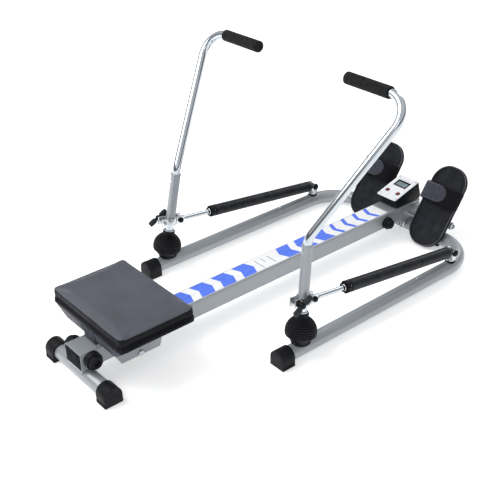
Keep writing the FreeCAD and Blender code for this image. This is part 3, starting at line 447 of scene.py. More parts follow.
def lathe_mesh(name, corners, place, around=56, wave=None, shell=False):
    """A turned mesh about the placement's Z axis, from a profile's corners in mm."""
    profile = rounded_profile(corners)
    vertices = []
    for point in profile:
        for turn in range(around):
            angle = 2 * math.pi * turn / around
            radius = point.x * (wave(angle, point.y) if wave else 1)
            vertices.append(spot(place, radius * math.cos(angle), radius * math.sin(angle), point.y))
    mesh = mesh_of(name, vertices, ring_faces(len(profile), around, shell))
    with edited(mesh) as work:
        bmesh.ops.remove_doubles(work, verts=work.verts, dist=1e-6)
        ends = [edge for edge in work.edges if edge.is_boundary]
        if ends:
            bmesh.ops.holes_fill(work, edges=ends)
    return mesh


def lathe(name, corners, place, body, material, **options):
    return new_piece(name, lathe_mesh(name, corners, place, **options), body, material)


BEVEL_STEPS = 3
BEVEL_ANGLE = math.radians(32)
FLAT_ANGLE = math.radians(1)
SHADE_ANGLE = math.radians(40)


def softened_copy(node, width):
    """A copy of a CAD node with rounded edges, width in mm, which stands for the node."""
    name = f"{node}_soft"
    source = frame["nodes"][node]
    mesh = source.data.copy()
    mesh.name = name
    with edited(mesh) as work:
        bmesh.ops.remove_doubles(work, verts=work.verts, dist=2e-6)
        bmesh.ops.dissolve_limit(
            work, angle_limit=FLAT_ANGLE, verts=work.verts, edges=work.edges, use_dissolve_boundaries=False
        )
        edges = [e for e in work.edges if e.is_manifold and e.calc_face_angle(0) > BEVEL_ANGLE]
        bmesh.ops.bevel(
            work, geom=edges, offset=width * MM, segments=BEVEL_STEPS, profile=0.5, affect="EDGES",
            clamp_overlap=True,
        )
    if mesh.has_custom_normals:
        mesh.normals_split_custom_set([(0, 0, 0)] * len(mesh.loops))
    mesh.shade_smooth()
    mesh.set_sharp_from_angle(angle=SHADE_ANGLE)
    slot = next(p["material_slot"] for p in frame["record"]["subparts"] if p["node"] == node)
    mesh.materials.clear()
    material = "plug_plastic" if node == "beam_end_plugs" else slot
    piece = new_piece(name, mesh, source["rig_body"], material)
    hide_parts(node)


# ---- places on the frame
def joint_axis(name):
    return Vector(JOINTS[name]["axis"]).normalized()


def joint_place(name):
    return Vector(JOINTS[name]["pos_m"])


def placement(origin, x_axis, z_axis):
    """A matrix with the given Z axis and its X axis as near as possible to the one asked for."""
    z_axis = z_axis.normalized()
    y_axis = z_axis.cross(x_axis).normalized()
    turn = Matrix((y_axis.cross(z_axis), y_axis, z_axis)).transposed()
    return Matrix.Translation(origin) @ turn.to_4x4()


def spot(place, x, y, z):
    """A point of the placement, given in mm, in the scene's metres."""
    return place @ (Vector((x, y, z)) * MM)


def shifted(place, x, y, z):
    return place @ Matrix.Translation(Vector((x, y, z)) * MM)


def facing(place, axis):
    """The same origin with +Z turned to one of the placement's own axes."""
    local = Vector(axis)
    near = X_AXIS if abs(local.x) < 0.9 else Y_AXIS
    return place @ placement(Vector((0, 0, 0)), near, local)


def arm_frame(label):
    """Origin in the arm's universal joint, +Z up along the arm's lower tube."""
    x_axis = joint_axis(f"arm_sweep_{label}")
    z_axis = x_axis.cross(joint_axis(f"clamp_screw_{label}"))
    return placement(joint_place(f"arm_pitch_{label}"), x_axis, z_axis)


def screw_frame(label):
    """The clamp screw's centre, with +X along its T-bar and +Y along the screw."""
    arm = arm_frame(label)
    bar_turn = Matrix.Rotation(-T_BAR_TURN, 4, "Y")
    turned = arm.to_3x3().to_4x4() @ bar_turn
    return Matrix.Translation(joint_place(f"clamp_screw_{label}")) @ turned


def cylinder_frame(label):
    """Origin in the front swivel pin, +Z along the cylinder toward the arm."""
    z_axis = joint_axis(f"rod_slide_{label}")
    x_axis = joint_axis(f"cylinder_pitch_{label}").cross(z_axis)
    return placement(joint_place(f"cylinder_pitch_{label}"), x_axis, z_axis)


def swivel_frame(label):
    """Origin in the front swivel pin, +Z up and +Y along the pin."""
    pin = joint_axis(f"cylinder_pitch_{label}")
    return placement(joint_place(f"bracket_yaw_{label}"), pin.cross(Z_AXIS), Z_AXIS)


def pedal_frame(label):
    """Origin on the pedal axle, +X toward the toe and +Z out of the sole."""
    along = Vector((math.cos(PEDAL_TILT), 0, math.sin(PEDAL_TILT)))
    return placement(joint_place(f"pedal_tilt_{label}"), along, along.cross(Y_AXIS))


def console_frame():
    """Origin in the middle of the console's case top, +Z out of its face."""
    low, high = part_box("console_face")
    up = -joint_axis("button_press_left")
    return placement((low + high) / 2 - up * MM, Y_AXIS.cross(up), up)


# ---- more mesh helpers
def swept_mesh(name, path, radius, around=10, closed=False, swell=None):
    """A round rod of mesh along a path of points, in metres."""
    count = len(path)
    vertices = []
    normal = None
    for index, point in enumerate(path):
        before = path[index - 1] if index or closed else point
        after = path[(index + 1) % count] if index < count - 1 or closed else point
        along = (after - before).normalized()
        if normal is None:
            normal = along.cross(Z_AXIS if abs(along.z) < 0.9 else X_AXIS).normalized()
        normal = (normal - along * normal.dot(along)).normalized()
        side = along.cross(normal)
        here = radius * (swell(index / count) if swell else 1)
        for step in range(around):
            angle = 2 * math.pi * step / around
            vertices.append(point + (normal * math.cos(angle) + side * math.sin(angle)) * here)
    faces = ring_faces(count, around, closed)
    if not closed:
        faces.append(tuple(reversed(range(around))))
        faces.append(tuple(range((count - 1) * around, count * around)))
    return mesh_of(name, vertices, faces)


def plates(name, outlines, place, low, high, body, material):
    """Thin plates with the given (x, y) outlines in mm, between two heights of a placement."""
    vertices = []
    faces = []
    for outline in outlines:
        start = len(vertices)
        count = len(outline)
        for height in (low, high):
            vertices.extend(spot(place, x, y, height) for x, y in outline)
        faces.append(tuple(start + count + i for i in range(count)))
        faces.append(tuple(start + i for i in reversed(range(count))))
        for i in range(count):
            following = (i + 1) % count
            faces.append((start + i, start + following, start + count + following, start + count + i))
    mesh = faces_outward(mesh_of(name, vertices, faces, smooth=False))
    new_piece(name, mesh, body, material)


def box_outline(x_low, x_high, y_low, y_high):
    return [(x_low, y_low), (x_high, y_low), (x_high, y_high), (x_low, y_high)]


def rounded_outline(x_low, x_high, y_low, y_high, radius, steps):
    """A rectangle whose corners are arcs, as (x, y) points going round once."""
    points = []
    corners = (
        (x_high - radius, y_high - radius, 0),
        (x_low + radius, y_high - radius, 90),
        (x_low + radius, y_low + radius, 180),
        (x_high - radius, y_low + radius, 270),
    )
    for x, y, start in corners:
        for step in range(steps + 1):
            angle = math.radians(start + 90 * step / steps)
            points.append((x + radius * math.cos(angle), y + radius * math.sin(angle)))
    return points


# ---- seat
SEAT_SWELL = 0.5
SEAT_CORNER = 15
SEAT_EDGE = 7
SEAM_HEIGHT = 0.42
TOP_BAND = 0.010
TOP_LEAN = 0.55
SEAM_DEPTH = 0.0030
SEAM_SPREAD = 0.0035
SEAM_ZONE = 0.8
SKIN_ABOVE_SEAM = 0.006
CORNER_ZONE = 1.45
RIPPLE_HEIGHT = 0.0004
CREASE_HEIGHT = 0.0012
SWELL_PRESSURE = 4.0
SWELL_STEPS = 20
SWELL_CAP = 0.004
HELD_HEIGHT = 0.004
PAD_VOXEL = 0.005
WELT_INSET = 10
WELT_RADIUS = 0.0013
WELT_STEP = 6


def seat_start_mesh():
    """The cushion before it swells: stacked outlines with a rounded upper edge and a crown."""
    low, high = (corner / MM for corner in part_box("seat_cushion"))
    x_low, x_high = low.x + SEAT_SWELL, high.x - SEAT_SWELL
    y_low, y_high = low.y + SEAT_SWELL, high.y - SEAT_SWELL
    top = high.z - SEAT_SWELL
    rings = [(low.z, 3), (low.z + 3, 0), (top - SEAT_EDGE, 0)]
    for step in range(1, 6):
        angle = math.pi / 2 * step / 5
        rings.append((top - SEAT_EDGE * (1 - math.sin(angle)), SEAT_EDGE * (1 - math.cos(angle))))
    rings.append((top + 1.5, 45))
    vertices = []
    for height, inset in rings:
        radius = max(4, SEAT_CORNER - inset)
        loop = rounded_outline(x_low + inset, x_high - inset, y_low + inset, y_high - inset, radius, 8)
        vertices.extend(Vector((x, y, height)) * MM for x, y in loop)
    count = len(loop)
    ends = [tuple(reversed(range(count))), tuple(range(len(vertices) - count, len(vertices)))]
    return mesh_of("seat_cushion_pad", vertices, ends + ring_faces(len(rings), count))


def apply_modifiers(piece):
    evaluated = piece.evaluated_get(bpy.context.evaluated_depsgraph_get())
    mesh = bpy.data.meshes.new_from_object(evaluated)
    piece.modifiers.clear()
    piece.data = mesh


def swell(piece, low_z):
    """Remesh the pad and inflate it as cloth, with its bottom held on the pan."""
    remesh = piece.modifiers.new("even", "REMESH")
    remesh.mode = "VOXEL"
    remesh.voxel_size = PAD_VOXEL
    apply_modifiers(piece)
    start = [v.co.copy() for v in piece.data.vertices]
    held = piece.vertex_groups.new(name="held")
    held.add([i for i, co in enumerate(start) if co.z < low_z + HELD_HEIGHT], 1.0, "REPLACE")
    cloth = piece.modifiers.new("cloth", "CLOTH")
    vinyl_cloth = cloth.settings
    vinyl_cloth.quality = 5
    vinyl_cloth.mass = 0.25
    vinyl_cloth.tension_stiffness = 14
    vinyl_cloth.compression_stiffness = 14
    vinyl_cloth.bending_stiffness = 0.6
    vinyl_cloth.use_pressure = True
    vinyl_cloth.uniform_pressure_force = SWELL_PRESSURE
    vinyl_cloth.effector_weights.gravity = 0
    vinyl_cloth.vertex_group_mass = "held"
    cloth.collision_settings.use_collision = False
    for step in range(1, SWELL_STEPS + 1):
        bpy.context.scene.frame_set(step)
    apply_modifiers(piece)
    bpy.context.scene.frame_set(1)
    for vertex, before in zip(piece.data.vertices, start):
        move = vertex.co - before
        if move.length > SWELL_CAP:
            vertex.co = before + move.normalized() * SWELL_CAP
        vertex.co.z = max(vertex.co.z, low_z)
    subdivide = piece.modifiers.new("fine", "SUBSURF")
    subdivide.levels = 1
    subdivide.render_levels = 1
    apply_modifiers(piece)


def shape_seat_skin(piece, seam_z, top_z):
    """Pull the seam in round the sides and lay soft creases over the vinyl."""
    low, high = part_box("seat_cushion")
    middle = (low + high) / 2
    half = (high - low) / 2
    for vertex in piece.data.vertices:
        co = vertex.co
        across = Vector(((co.x - middle.x) / half.x, (co.y - middle.y) / half.y))
        outward = Vector((across.x ** 7, across.y ** 7, 0))
        outward = outward.normalized() if outward.length > 1e-9 else Vector((0, 0, 0))
        if max(abs(across.x), abs(across.y)) > SEAM_ZONE:
            co -= outward * SEAM_DEPTH * math.exp(-(((co.z - seam_z) / SEAM_SPREAD) ** 2))
        near_corner = max(0, abs(across.x) + abs(across.y) - CORNER_ZONE)
        crease = noise.noise(Vector((co.x * 26, co.y * 26, co.z * 40)))
        ripple = noise.noise(Vector((co.x * 9 + 4, co.y * 9, co.z * 9)))
        lift = RIPPLE_HEIGHT * ripple + CREASE_HEIGHT * near_corner * crease
        if co.z > seam_z + SKIN_ABOVE_SEAM:
            co.z = min(co.z + lift, top_z)


def outline_at(piece, height, points):
    """Where rays coming in level at a height meet the piece, one for each outline point."""
    mesh = piece.data
    tree = BVHTree.FromPolygons([v.co for v in mesh.vertices], [p.vertices for p in mesh.polygons])
    low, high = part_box("seat_cushion")
    middle = (low + high) / 2
    ring = []
    for x, y in points:
        inner = Vector((x * MM, y * MM, height))
        away = Vector(((inner.x - middle.x) / (high.x - low.x), (inner.y - middle.y) / (high.y - low.y), 0))
        away = Vector((away.x ** 5, away.y ** 5, 0)).normalized()
        hit = tree.ray_cast(inner + away * 0.08, -away)[0]
        if hit:
            ring.append(hit)
    return ring


def make_seat():
    """The cushion: a swollen vinyl pad with its seam welt, on the pan."""
    low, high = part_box("seat_cushion")
    pad = new_piece("seat_cushion_pad", seat_start_mesh(), "seat", "seat_vinyl")
    swell(pad, low.z)
    seam_z = low.z + (high.z - low.z) * SEAM_HEIGHT
    shape_seat_skin(pad, seam_z, high.z + SWELL_CAP)
    pad.data.materials.clear()
    pad.data.materials.append(MATERIALS["seat_vinyl"])
    pad.data.materials.append(MATERIALS["seat_side"])
    for face in pad.data.polygons:
        if face.normal.z < TOP_LEAN or face.center.z < high.z - TOP_BAND:
            face.material_index = 1
    pad.data.shade_smooth()
    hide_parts("seat_cushion")
    inset = Vector((WELT_INSET, WELT_INSET, 0))
    inner_low, inner_high = low / MM + inset, high / MM - inset
    edge = rounded_outline(inner_low.x, inner_high.x, inner_low.y, inner_high.y, 13, 14)
    finer = []
    for index, point in enumerate(edge):
        following = edge[(index + 1) % len(edge)]
        parts = max(1, round(math.dist(point, following) / WELT_STEP))
        for part in range(parts):
            t = part / parts
            finer.append((point[0] * (1 - t) + following[0] * t, point[1] * (1 - t) + following[1] * t))
    ring = outline_at(pad, seam_z, finer)
    welt = swept_mesh("seat_welt", ring, WELT_RADIUS, around=8, closed=True)
    new_piece("seat_welt", welt, "seat", "seat_side")
    make_pan_details(low)


def make_pan_details(cushion_low):
    """Dark seams beside the middle panel, down the pan's sloping ends."""
    pan_low, pan_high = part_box("seat_pan")
    seams = [box_outline(y - 1.8, y + 1.8, 1, 36) for y in (-28.5, 28.5)]
    for end, x_top, out in (("rear", pan_low.x, -1), ("front", pan_high.x, 1)):
        outward = Vector((36 * out, 0, -8)).normalized()
        place = placement(Vector((x_top, 0, cushion_low.z)), Y_AXIS * -out, outward)
        plates(f"pan_seams_{end}", seams, place, -0.4, 0.3, "seat", "black_rubber")


# ---- rail print
FILM_LIFT = 0.14
CHEVRON_HALF = 33
BLOCK_LENGTH = 49
BLOCK_STEP = 80
REAR_BLOCKS_END = -80
FRONT_BLOCK_STARTS = (51, 127, 203)
THIN_STARTS = (284, 337, 390, 443)
THIN_LENGTH = 15
CHEVRON_TIP = 13
HATCH_MARKS = ((-46, -29, 22), (-22, -5, 20), (3, -26, 20))


def chevron(start, end, tip):
    half = CHEVRON_HALF
    return [(start, half), (start + tip, 0), (start, -half), (end, -half), (end + tip, 0), (end, half)]


def make_rail_print():
    """Blue chevrons that point at the middle of the rail from both ends."""
    low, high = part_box("track_strip")
    place = Matrix.Translation((0, 0, high.z))
    rear_limit = low.x / MM + 6
    blocks = []
    end = REAR_BLOCKS_END
    while end - BLOCK_LENGTH > rear_limit:
        blocks.append(chevron(end - BLOCK_LENGTH, end, CHEVRON_TIP))
        end -= BLOCK_STEP
    blocks.extend(chevron(start, start + BLOCK_LENGTH, -CHEVRON_TIP) for start in FRONT_BLOCK_STARTS)
    blocks.extend(chevron(start, start + THIN_LENGTH, -CHEVRON_TIP) for start in THIN_STARTS)
    halves = []
    for shape in blocks:
        rear_left, rear_tip, rear_right, front_right, front_tip, front_left = shape
        halves.append([rear_left, rear_tip, front_tip, front_left])
        halves.append([rear_tip, rear_right, front_right, front_tip])
    plates("rail_chevrons", halves, place, 0.01, FILM_LIFT, "root", "track_blue")
    marks = [box_outline(x - 1.6, x + 1.6, *across) for x, *across in HATCH_MARKS]
    plates("rail_marks", marks, place, 0.01, FILM_LIFT, "root", "mark_grey")


# ---- arms
BOOT_RINGS = 9
RING_PITCH = 8.8
SPRING_BUTTON = (-14.6, 0, 232)
POST_WASHER_HEIGHT = 57.2


def on_ball(radius, polar, rounding=0.0):
    return radius * math.sin(math.radians(polar)), radius * math.cos(math.radians(polar)), rounding


def make_boot(label):
    """Rubber boot: a smooth ball below, bellows above and a pinched neck round the post."""
    profile = [on_ball(44.2, 107), on_ball(45.2, 105.5, 0.6)]
    for ring in range(BOOT_RINGS):
        polar = 104 - ring * RING_PITCH
        profile += [on_ball(45.4, polar), on_ball(45.8, polar - 2.8), on_ball(45.2, polar - 5.4, 0.8)]
        profile += [on_ball(42.8, polar - 6.4, 0.5), on_ball(42.8, polar - 7.8, 0.5)]
        profile.append(on_ball(45.2, polar - 9.0, 0.8))
    profile += [(16.4, 42.6, 1.0), (16.0, 47, 1.5), (19.2, 48.6, 1.2), (19.2, 55.2, 1.6), (13.0, 57, 0.8)]
    profile += [(12.62, 56), (12.62, 40), (17, 36, 1), (32, 24, 2), (41, 6), (40.8, -7.6), (39.6, -12.8)]
    place = arm_frame(label)
    piece = lathe(
        f"boot_bellows_{label}", profile, place, f"arm_{label}", "black_rubber", around=72, shell=True
    )
    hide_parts(f"boot_cover_{label}")


def make_boot_foot(label):
    """Rolled foot of the boot's fixed bowl."""
    centre = joint_place(f"arm_pitch_{label}")
    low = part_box("boot_bases")[0]
    place = Matrix.Translation((centre.x, centre.y, low.z))
    ring = [(23.6, 0.5), (27, 0.2, 1), (29.5, 2.5, 1.2), (27.6, 5.5, 1), (25, 5)]
    lathe(f"boot_foot_{label}", ring, place, "root", "black_rubber", shell=True)


def make_grip(label, side):
    """Foam grip with a rounded, dimpled end and a soft lip at its other end."""
    low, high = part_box(f"hand_grip_{label}")
    centre = (low + high) / 2
    outer_y = high.y if side > 0 else low.y
    place = placement(Vector((centre.x, outer_y, centre.z)), X_AXIS, Y_AXIS * -side)
    length = (high.y - low.y) / MM
    profile = [
        (12.6, 2.0), (12.6, -0.4), (15.2, -1.2, 1.0), (17.3, 0.4, 1.8), (17.5, 6),
        (17.35, length * 0.3), (17.5, length * 0.6), (17.5, length - 6),
        (17.5, length - 0.4, 4.5), (5, length, 1.2), (3.6, length - 1.6, 0.8), (0.0, length - 1.8),
    ]

    def uneven(angle, height):
        place = Vector((math.cos(angle) * 2, math.sin(angle) * 2, height * 0.05 + side))
        return 1 + 0.006 * noise.noise(place)

    piece = lathe(f"foam_grip_{label}", profile, place, f"arm_{label}", "grip_foam", wave=uneven)
    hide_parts(f"hand_grip_{label}")


def make_tube_details(label):
    """Rolled lip of the lower tube, spring button of the upper tube and washer of the post."""
    arm = arm_frame(label)
    body = f"arm_{label}"
    lip = [
        (12.75, 249), (15.0, 249), (15.9, 250.5, 0.8), (15.9, 254.5, 1.2), (13.2, 255.6, 0.6),
        (12.75, 254.6),
    ]
    lathe(f"tube_lip_{label}", lip, arm, body, "silver_paint", shell=True)
    button = facing(shifted(arm, *SPRING_BUTTON), (-1, 0, 0))
    lathe(f"spring_button_{label}", [(3.6, 0), (3.6, 1.4, 1.0), (0, 2.4)], button, body, "chrome")
    flange = [(12.6, 0), (16.5, 0, 0.4), (16.5, 2.2, 0.6), (12.6, 2.2)]
    foot = shifted(arm, 0, 0, POST_WASHER_HEIGHT)
    lathe(f"post_washer_{label}", flange, foot, body, "chrome", shell=True)


CLAMP_FACE = 12.3
SCREW_BAR_OUT = 16.5
T_BAR_TURN = math.radians(36)


def fluted(angle, height):
    """Flattened knobs with fine flutes along their grip."""
    flutes = 0.04 * math.cos(angle * 12) if 13 < height < 33 else 0
    return 1 - 0.15 * math.cos(angle * 2) + flutes


def make_screw_handle(label, side):
    """T-handle of the clamp screw: a hub with a cross bar that ends in fluted knobs."""
    place = screw_frame(label)
    face = CLAMP_FACE
    hub = facing(place, (0, side, 0))
    hub_profile = [
        (4.2, face + 0.5), (9.4, face + 0.5, 0.6), (10, face + 4, 0.5), (8.8, face + 6, 0.5),
        (9.0, face + 18.5, 1.0), (7.6, face + 21.4, 1.5), (0, face + 22.2),
    ]
    body = f"clamp_handle_{label}"
    piece = lathe(f"screw_hub_{label}", hub_profile, hub, body, "black_plastic", around=40)
    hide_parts(body)
    arm_profile = [
        (5.0, 4), (5.0, 9.5, 0.8), (7.4, 11, 0.6), (8.2, 14), (8.2, 24), (8.2, 31.5, 0.8),
        (7.0, 35.6, 1.5), (0, 36.6),
    ]
    for end, end_name in ((1, "front"), (-1, "rear")):
        name = f"screw_bar_{end_name}_{label}"
        bar = facing(shifted(place, 0, side * (face + SCREW_BAR_OUT), 0), (end, 0, 0))
        mesh = lathe_mesh(name, arm_profile, bar, around=72, wave=fluted)
        new_piece(name, mesh, body, "knob_plastic")
    thread = [(3.9 if step % 2 else 4.25, -face - 5 + step * 0.5) for step in range(11)]
    lathe(f"screw_thread_{label}", thread, hub, body, "zinc_steel")


# ---- cylinders
NOTCHES_FROM = 469
SETTINGS = 6
NUMBER_SIZE = 0.0052
NUMBER_THICK = 0.00012
NUMBER_OUT = 18.52
NUMBER_ALONG = 466.4
BOSS_DEPTH = 0.030


def notched(angle, height):
    """Castle notches round the open end of the dial."""
    if height < NOTCHES_FROM:
        return 1
    return 1 - 0.13 * min(1.0, 2.2 * max(0.0, math.cos(angle * 6) - 0.25))


def make_cylinder(label):
    """End caps, gland, wiper and dial of a damper."""
    axis = cylinder_frame(label)
    body = f"cylinder_{label}"
    nose = [
        (9.9, 10.5), (12.2, 10.5, 0.8), (18.6, 21, 2.2), (18.85, 25, 1), (18.85, 31, 0.8), (18.5, 32),
    ]
    lathe(f"cylinder_nose_{label}", nose, axis, body, "cylinder_black")
    collar = [(18.5, 446), (18.9, 447, 0.3), (18.9, 458, 1.2), (17.4, 460.1, 0.8), (9.3, 460.2)]
    lathe(f"cylinder_collar_{label}", collar, axis, body, "cylinder_black")
    gland = [(8.8, 474), (11.8, 474), (11.8, 481, 0.8), (10.4, 482.6, 0.6), (8.8, 482.6)]
    lathe(f"gland_nut_{label}", gland, axis, body, "zinc_steel", around=6, shell=True)
    wiper = [(7.56, 481), (9.6, 481, 0.4), (8.8, 485, 0.6), (7.56, 485)]
    lathe(f"rod_wiper_{label}", wiper, axis, body, "black_rubber", shell=True)
    dial = [
        (9.2, 460.5), (15.8, 460.5, 0.5), (18.4, 463, 1.0), (18.5, 466, 0.3), (18.5, 469),
        (18.8, 470), (18.8, 476, 0.5), (17.8, 478.2, 0.8), (15.4, 478.2, 0.6), (14.4, 473, 0.8),
        (9.2, 472.5),
    ]
    name = f"dial_bell_{label}"
    piece = lathe(name, dial, axis, f"dial_{label}", "black_plastic", around=96, shell=True, wave=notched)
    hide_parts(f"resistance_dial_{label}")
    make_dial_numbers(label, axis)
    make_swivel(label)


def make_dial_numbers(label, axis):
    """Settings one to six, raised round the dial."""
    for number in range(1, SETTINGS + 1):
        curve = bpy.data.curves.new(f"dial_number_{number}_{label}", "FONT")
        curve.body = str(number)
        curve.size = NUMBER_SIZE
        curve.extrude = NUMBER_THICK
        curve.align_x = "CENTER"
        curve.align_y = "CENTER"
        text = add_object(f"dial_text_{number}_{label}", curve)
        mesh = bpy.data.meshes.new_from_object(text)
        bpy.data.objects.remove(text)
        angle = 2 * math.pi * number / SETTINGS
        outward = Vector((math.cos(angle), math.sin(angle), 0))
        local = placement((outward * NUMBER_OUT + Z_AXIS * NUMBER_ALONG) * MM, Z_AXIS, outward)
        mesh.transform(axis @ local)
        new_piece(f"dial_number_{number}_{label}", mesh, f"dial_{label}", "mark_white")


def make_swivel(label):
    """Rubber bushing under the bracket, washers and domed caps on the swivel pin."""
    swivel = swivel_frame(label)
    centre = joint_place(f"bracket_yaw_{label}")
    place = Matrix.Translation((centre.x, centre.y, centre.z - BOSS_DEPTH))
    bushing = [
        (12.1, -6.5), (16.0, -6.5, 0.8), (16.4, -4.6, 0.8), (14.6, -3.4, 0.6), (15.6, -2.2, 0.6),
        (14.2, -0.6, 0.5), (12.1, -0.2),
    ]
    lathe(f"swivel_bushing_{label}", bushing, place, "root", "black_rubber", shell=True)
    for end, name in ((1, "outer"), (-1, "inner")):
        pin = facing(swivel, (0, end, 0))
        washer = [(4.2, 13.9), (12.4, 13.9, 0.3), (12.4, 15.2, 0.4), (4.2, 15.4)]
        lathe(f"swivel_washer_{name}_{label}", washer, pin, f"bracket_{label}", "zinc_steel", shell=True)
        cap = [(11.0, 15.2), (11.0, 18.4, 0.8), (8.4, 22.0, 2.0), (3.4, 23.4, 1.5), (0, 23.6)]
        lathe(f"swivel_cap_{name}_{label}", cap, pin, f"bracket_{label}", "black_plastic")


# ---- pedals
PEDAL_TILT = math.radians(55)
PEDAL_HEEL = 101
PEDAL_TOE = 184
PEDAL_HALF = 68
PEDAL_CORNER = 62
PEDAL_TOP = 22
STRAP_REAR = 48
STRAP_FRONT = 110
STRAP_HALF = 70.5
STRAP_BASE = 12
STRAP_RISE = 45
STRAP_ROUND = 2.7
STRAP_THICK = 2.4
FLAP_THICK = 1.8
FLAP_LIFT = 2.7
FLAP_INSET = 1.5
FLAP_ROUND = 0.26
BAND_STEPS = 52
BAND_ACROSS = 14
ROLLED_FROM = 0.86
STITCH_LIFT = 4.75
STITCH_INSET = 5.5
RIM_INSET = 2.2


def arch_point(turn, out):
    """A point of the strap's arch, out from its inner face, as (y, z) in mm."""
    power = 2 / STRAP_ROUND
    across = -math.cos(turn)
    up = math.sin(turn)
    y = (STRAP_HALF + out) * math.copysign(abs(across) ** power, across)
    return y, STRAP_BASE + (STRAP_RISE + out) * abs(up) ** power


def arch_band(name, place, turns, x_low, x_high, thick, lift, round_end=0.0):
    """A flat band that follows the strap's arch, with softly rolled edges."""
    count = BAND_STEPS
    across = BAND_ACROSS
    middle = (x_low + x_high) / 2
    vertices = []
    for index in range(count + 1):
        t = index / count
        turn = turns[0] + (turns[1] - turns[0]) * t
        taper = 1.0
        if round_end:
            remaining = (1 - t) / round_end
            taper = math.sqrt(max(0.02, 1 - (1 - min(1, remaining)) ** 2))
        half = (x_high - x_low) / 2 * taper
        sag = 0.9 * math.sin(t * math.pi)
        for face in (0, 1):
            for step in range(across + 1):
                s = step / across * 2 - 1
                edge = 0.45 * thick * max(0, abs(s) - ROLLED_FROM) / (1 - ROLLED_FROM)
                out = lift + (thick - edge if face else edge) + sag * (1 - s * s) * 0.6
                y, z = arch_point(turn, out)
                vertices.append(spot(place, middle + half * s, y, z))
    row = 2 * (across + 1)
    faces = []
    for index in range(count):
        here = index * row
        following = here + row
        for step in range(across):
            faces.append((here + step, here + step + 1, following + step + 1, following + step))
            top = across + 1 + step
            faces.append((here + top, following + top, following + top + 1, here + top + 1))
        for edge in (0, across):
            opposite = edge + across + 1
            faces.append((here + edge, following + edge, following + opposite, here + opposite))
    for start in (0, count * row):
        for step in range(across):
            low_edge = start + step
            faces.append((low_edge, low_edge + 1, low_edge + across + 2, low_edge + across + 1))
    return faces_outward(mesh_of(name, vertices, faces))


def make_pedal(label, side):
    """Rim bead painted light grey as a highlight on the pedal's edge, strap, flap and stitches of a foot
    pedal, and the cap on its axle.
    """
    place = pedal_frame(label)
    body = f"pedal_{label}"
    heel, toe = RIM_INSET - PEDAL_HEEL, PEDAL_TOE - RIM_INSET
    half = PEDAL_HALF - RIM_INSET
    loop = rounded_outline(heel, toe, -half, half, PEDAL_CORNER - RIM_INSET, 18)
    # a thin bead round the pedal's top edge, whose light grey colour is a painted highlight
    path = [spot(place, x, y, PEDAL_TOP + 0.2) for x, y in loop]
    name = f"pedal_rim_highlight_{label}"
    new_piece(name, swept_mesh(name, path, 0.0016, closed=True), body, "rim_highlight_plastic")
    name = f"strap_band_{label}"
    turns = (math.radians(3), math.radians(177))
    band = arch_band(name, place, turns, STRAP_REAR, STRAP_FRONT, STRAP_THICK, 0)
    strap = new_piece(name, band, body, "strap_webbing")
    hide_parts(f"foot_strap_{label}")
    name = f"strap_flap_{label}"
    turns = (math.radians(172), math.radians(68))
    rear, front = STRAP_REAR + FLAP_INSET, STRAP_FRONT - FLAP_INSET
    flap = arch_band(name, place, turns, rear, front, FLAP_THICK, FLAP_LIFT, FLAP_ROUND)
    new_piece(name, flap, body, "flap_fabric")
    stitches = []
    for x in (STRAP_REAR + STITCH_INSET, STRAP_FRONT - STITCH_INSET):
        for step in range(33):
            start = 166 - step * 2.5
            ends = [arch_point(math.radians(turn), STITCH_LIFT) for turn in (start, start - 1.4)]
            stitches.append([spot(place, x, y, z) for y, z in ends])
    name = f"strap_stitches_{label}"
    new_piece(name, merged_rods(name, stitches, 0.0003), body, "mark_grey")
    nut = facing(place, (0, side, 0))
    cap = [(11.5, 69.6), (11.5, 71.2, 0.5), (8.6, 71.4, 0.3), (8.6, 76.4, 1.2), (6.2, 80, 2.0), (0, 80.8)]
    lathe(f"axle_cap_{label}", cap, nut, "root", "black_plastic")
    washer = [(6.2, 68.3), (13.5, 68.3, 0.4), (13.5, 69.8, 0.5), (6.2, 69.8)]
    lathe(f"axle_washer_{label}", washer, nut, "root", "zinc_steel", shell=True)


def merged_rods(name, paths, radius):
    """Many short rods as one mesh."""
    work = bmesh.new()
    for path in paths:
        rod = swept_mesh(name, path, radius, around=6)
        work.from_mesh(rod)
        bpy.data.meshes.remove(rod)
    mesh = bpy.data.meshes.new(name)
    work.to_mesh(mesh)
    work.free()
    mesh.shade_smooth()
    return mesh


# ---- console
SEGMENTS = {
    "a": (0, 1, 0.5, 1), "b": (0.5, 1, 0.5, 0), "c": (0.5, 0, 0.5, -1), "d": (0, -1, 0.5, -1),
    "e": (0, 0, 0, -1), "f": (0, 1, 0, 0), "g": (0, 0, 0.5, 0),
}
DIGITS = {"0": "abcdef", "1": "bc", "2": "abged", "5": "afgcd"}
DIGIT_HEIGHT = 10
WINDOW_EDGE = 4.6
PANEL_LOW = 3.0
PANEL_TOP = 3.4
SEGMENT_TOP = 3.5
FACE_TOP = 2.0


def digit_outlines(text, x_middle, y_start):
    """Seven-segment digits read from the rower's side: up is +X, and text runs toward -Y."""
    height = DIGIT_HEIGHT
    width = height * 0.5
    thick = height * 0.085
    shapes = []
    y = y_start
    for character in text:
        for key in DIGITS[character]:
            across_0, up_0, across_1, up_1 = SEGMENTS[key]
            y_0 = y - across_0 * width * 2
            y_1 = y - across_1 * width * 2
            x_0 = x_middle + up_0 * height / 2
            x_1 = x_middle + up_1 * height / 2
            x_low, x_high = min(x_0, x_1) - thick / 2, max(x_0, x_1) + thick / 2
            y_low, y_high = min(y_0, y_1) - thick / 2, max(y_0, y_1) + thick / 2
            shapes.append(box_outline(x_low, x_high, y_low, y_high))
        y -= width + height * 0.34
    return shapes


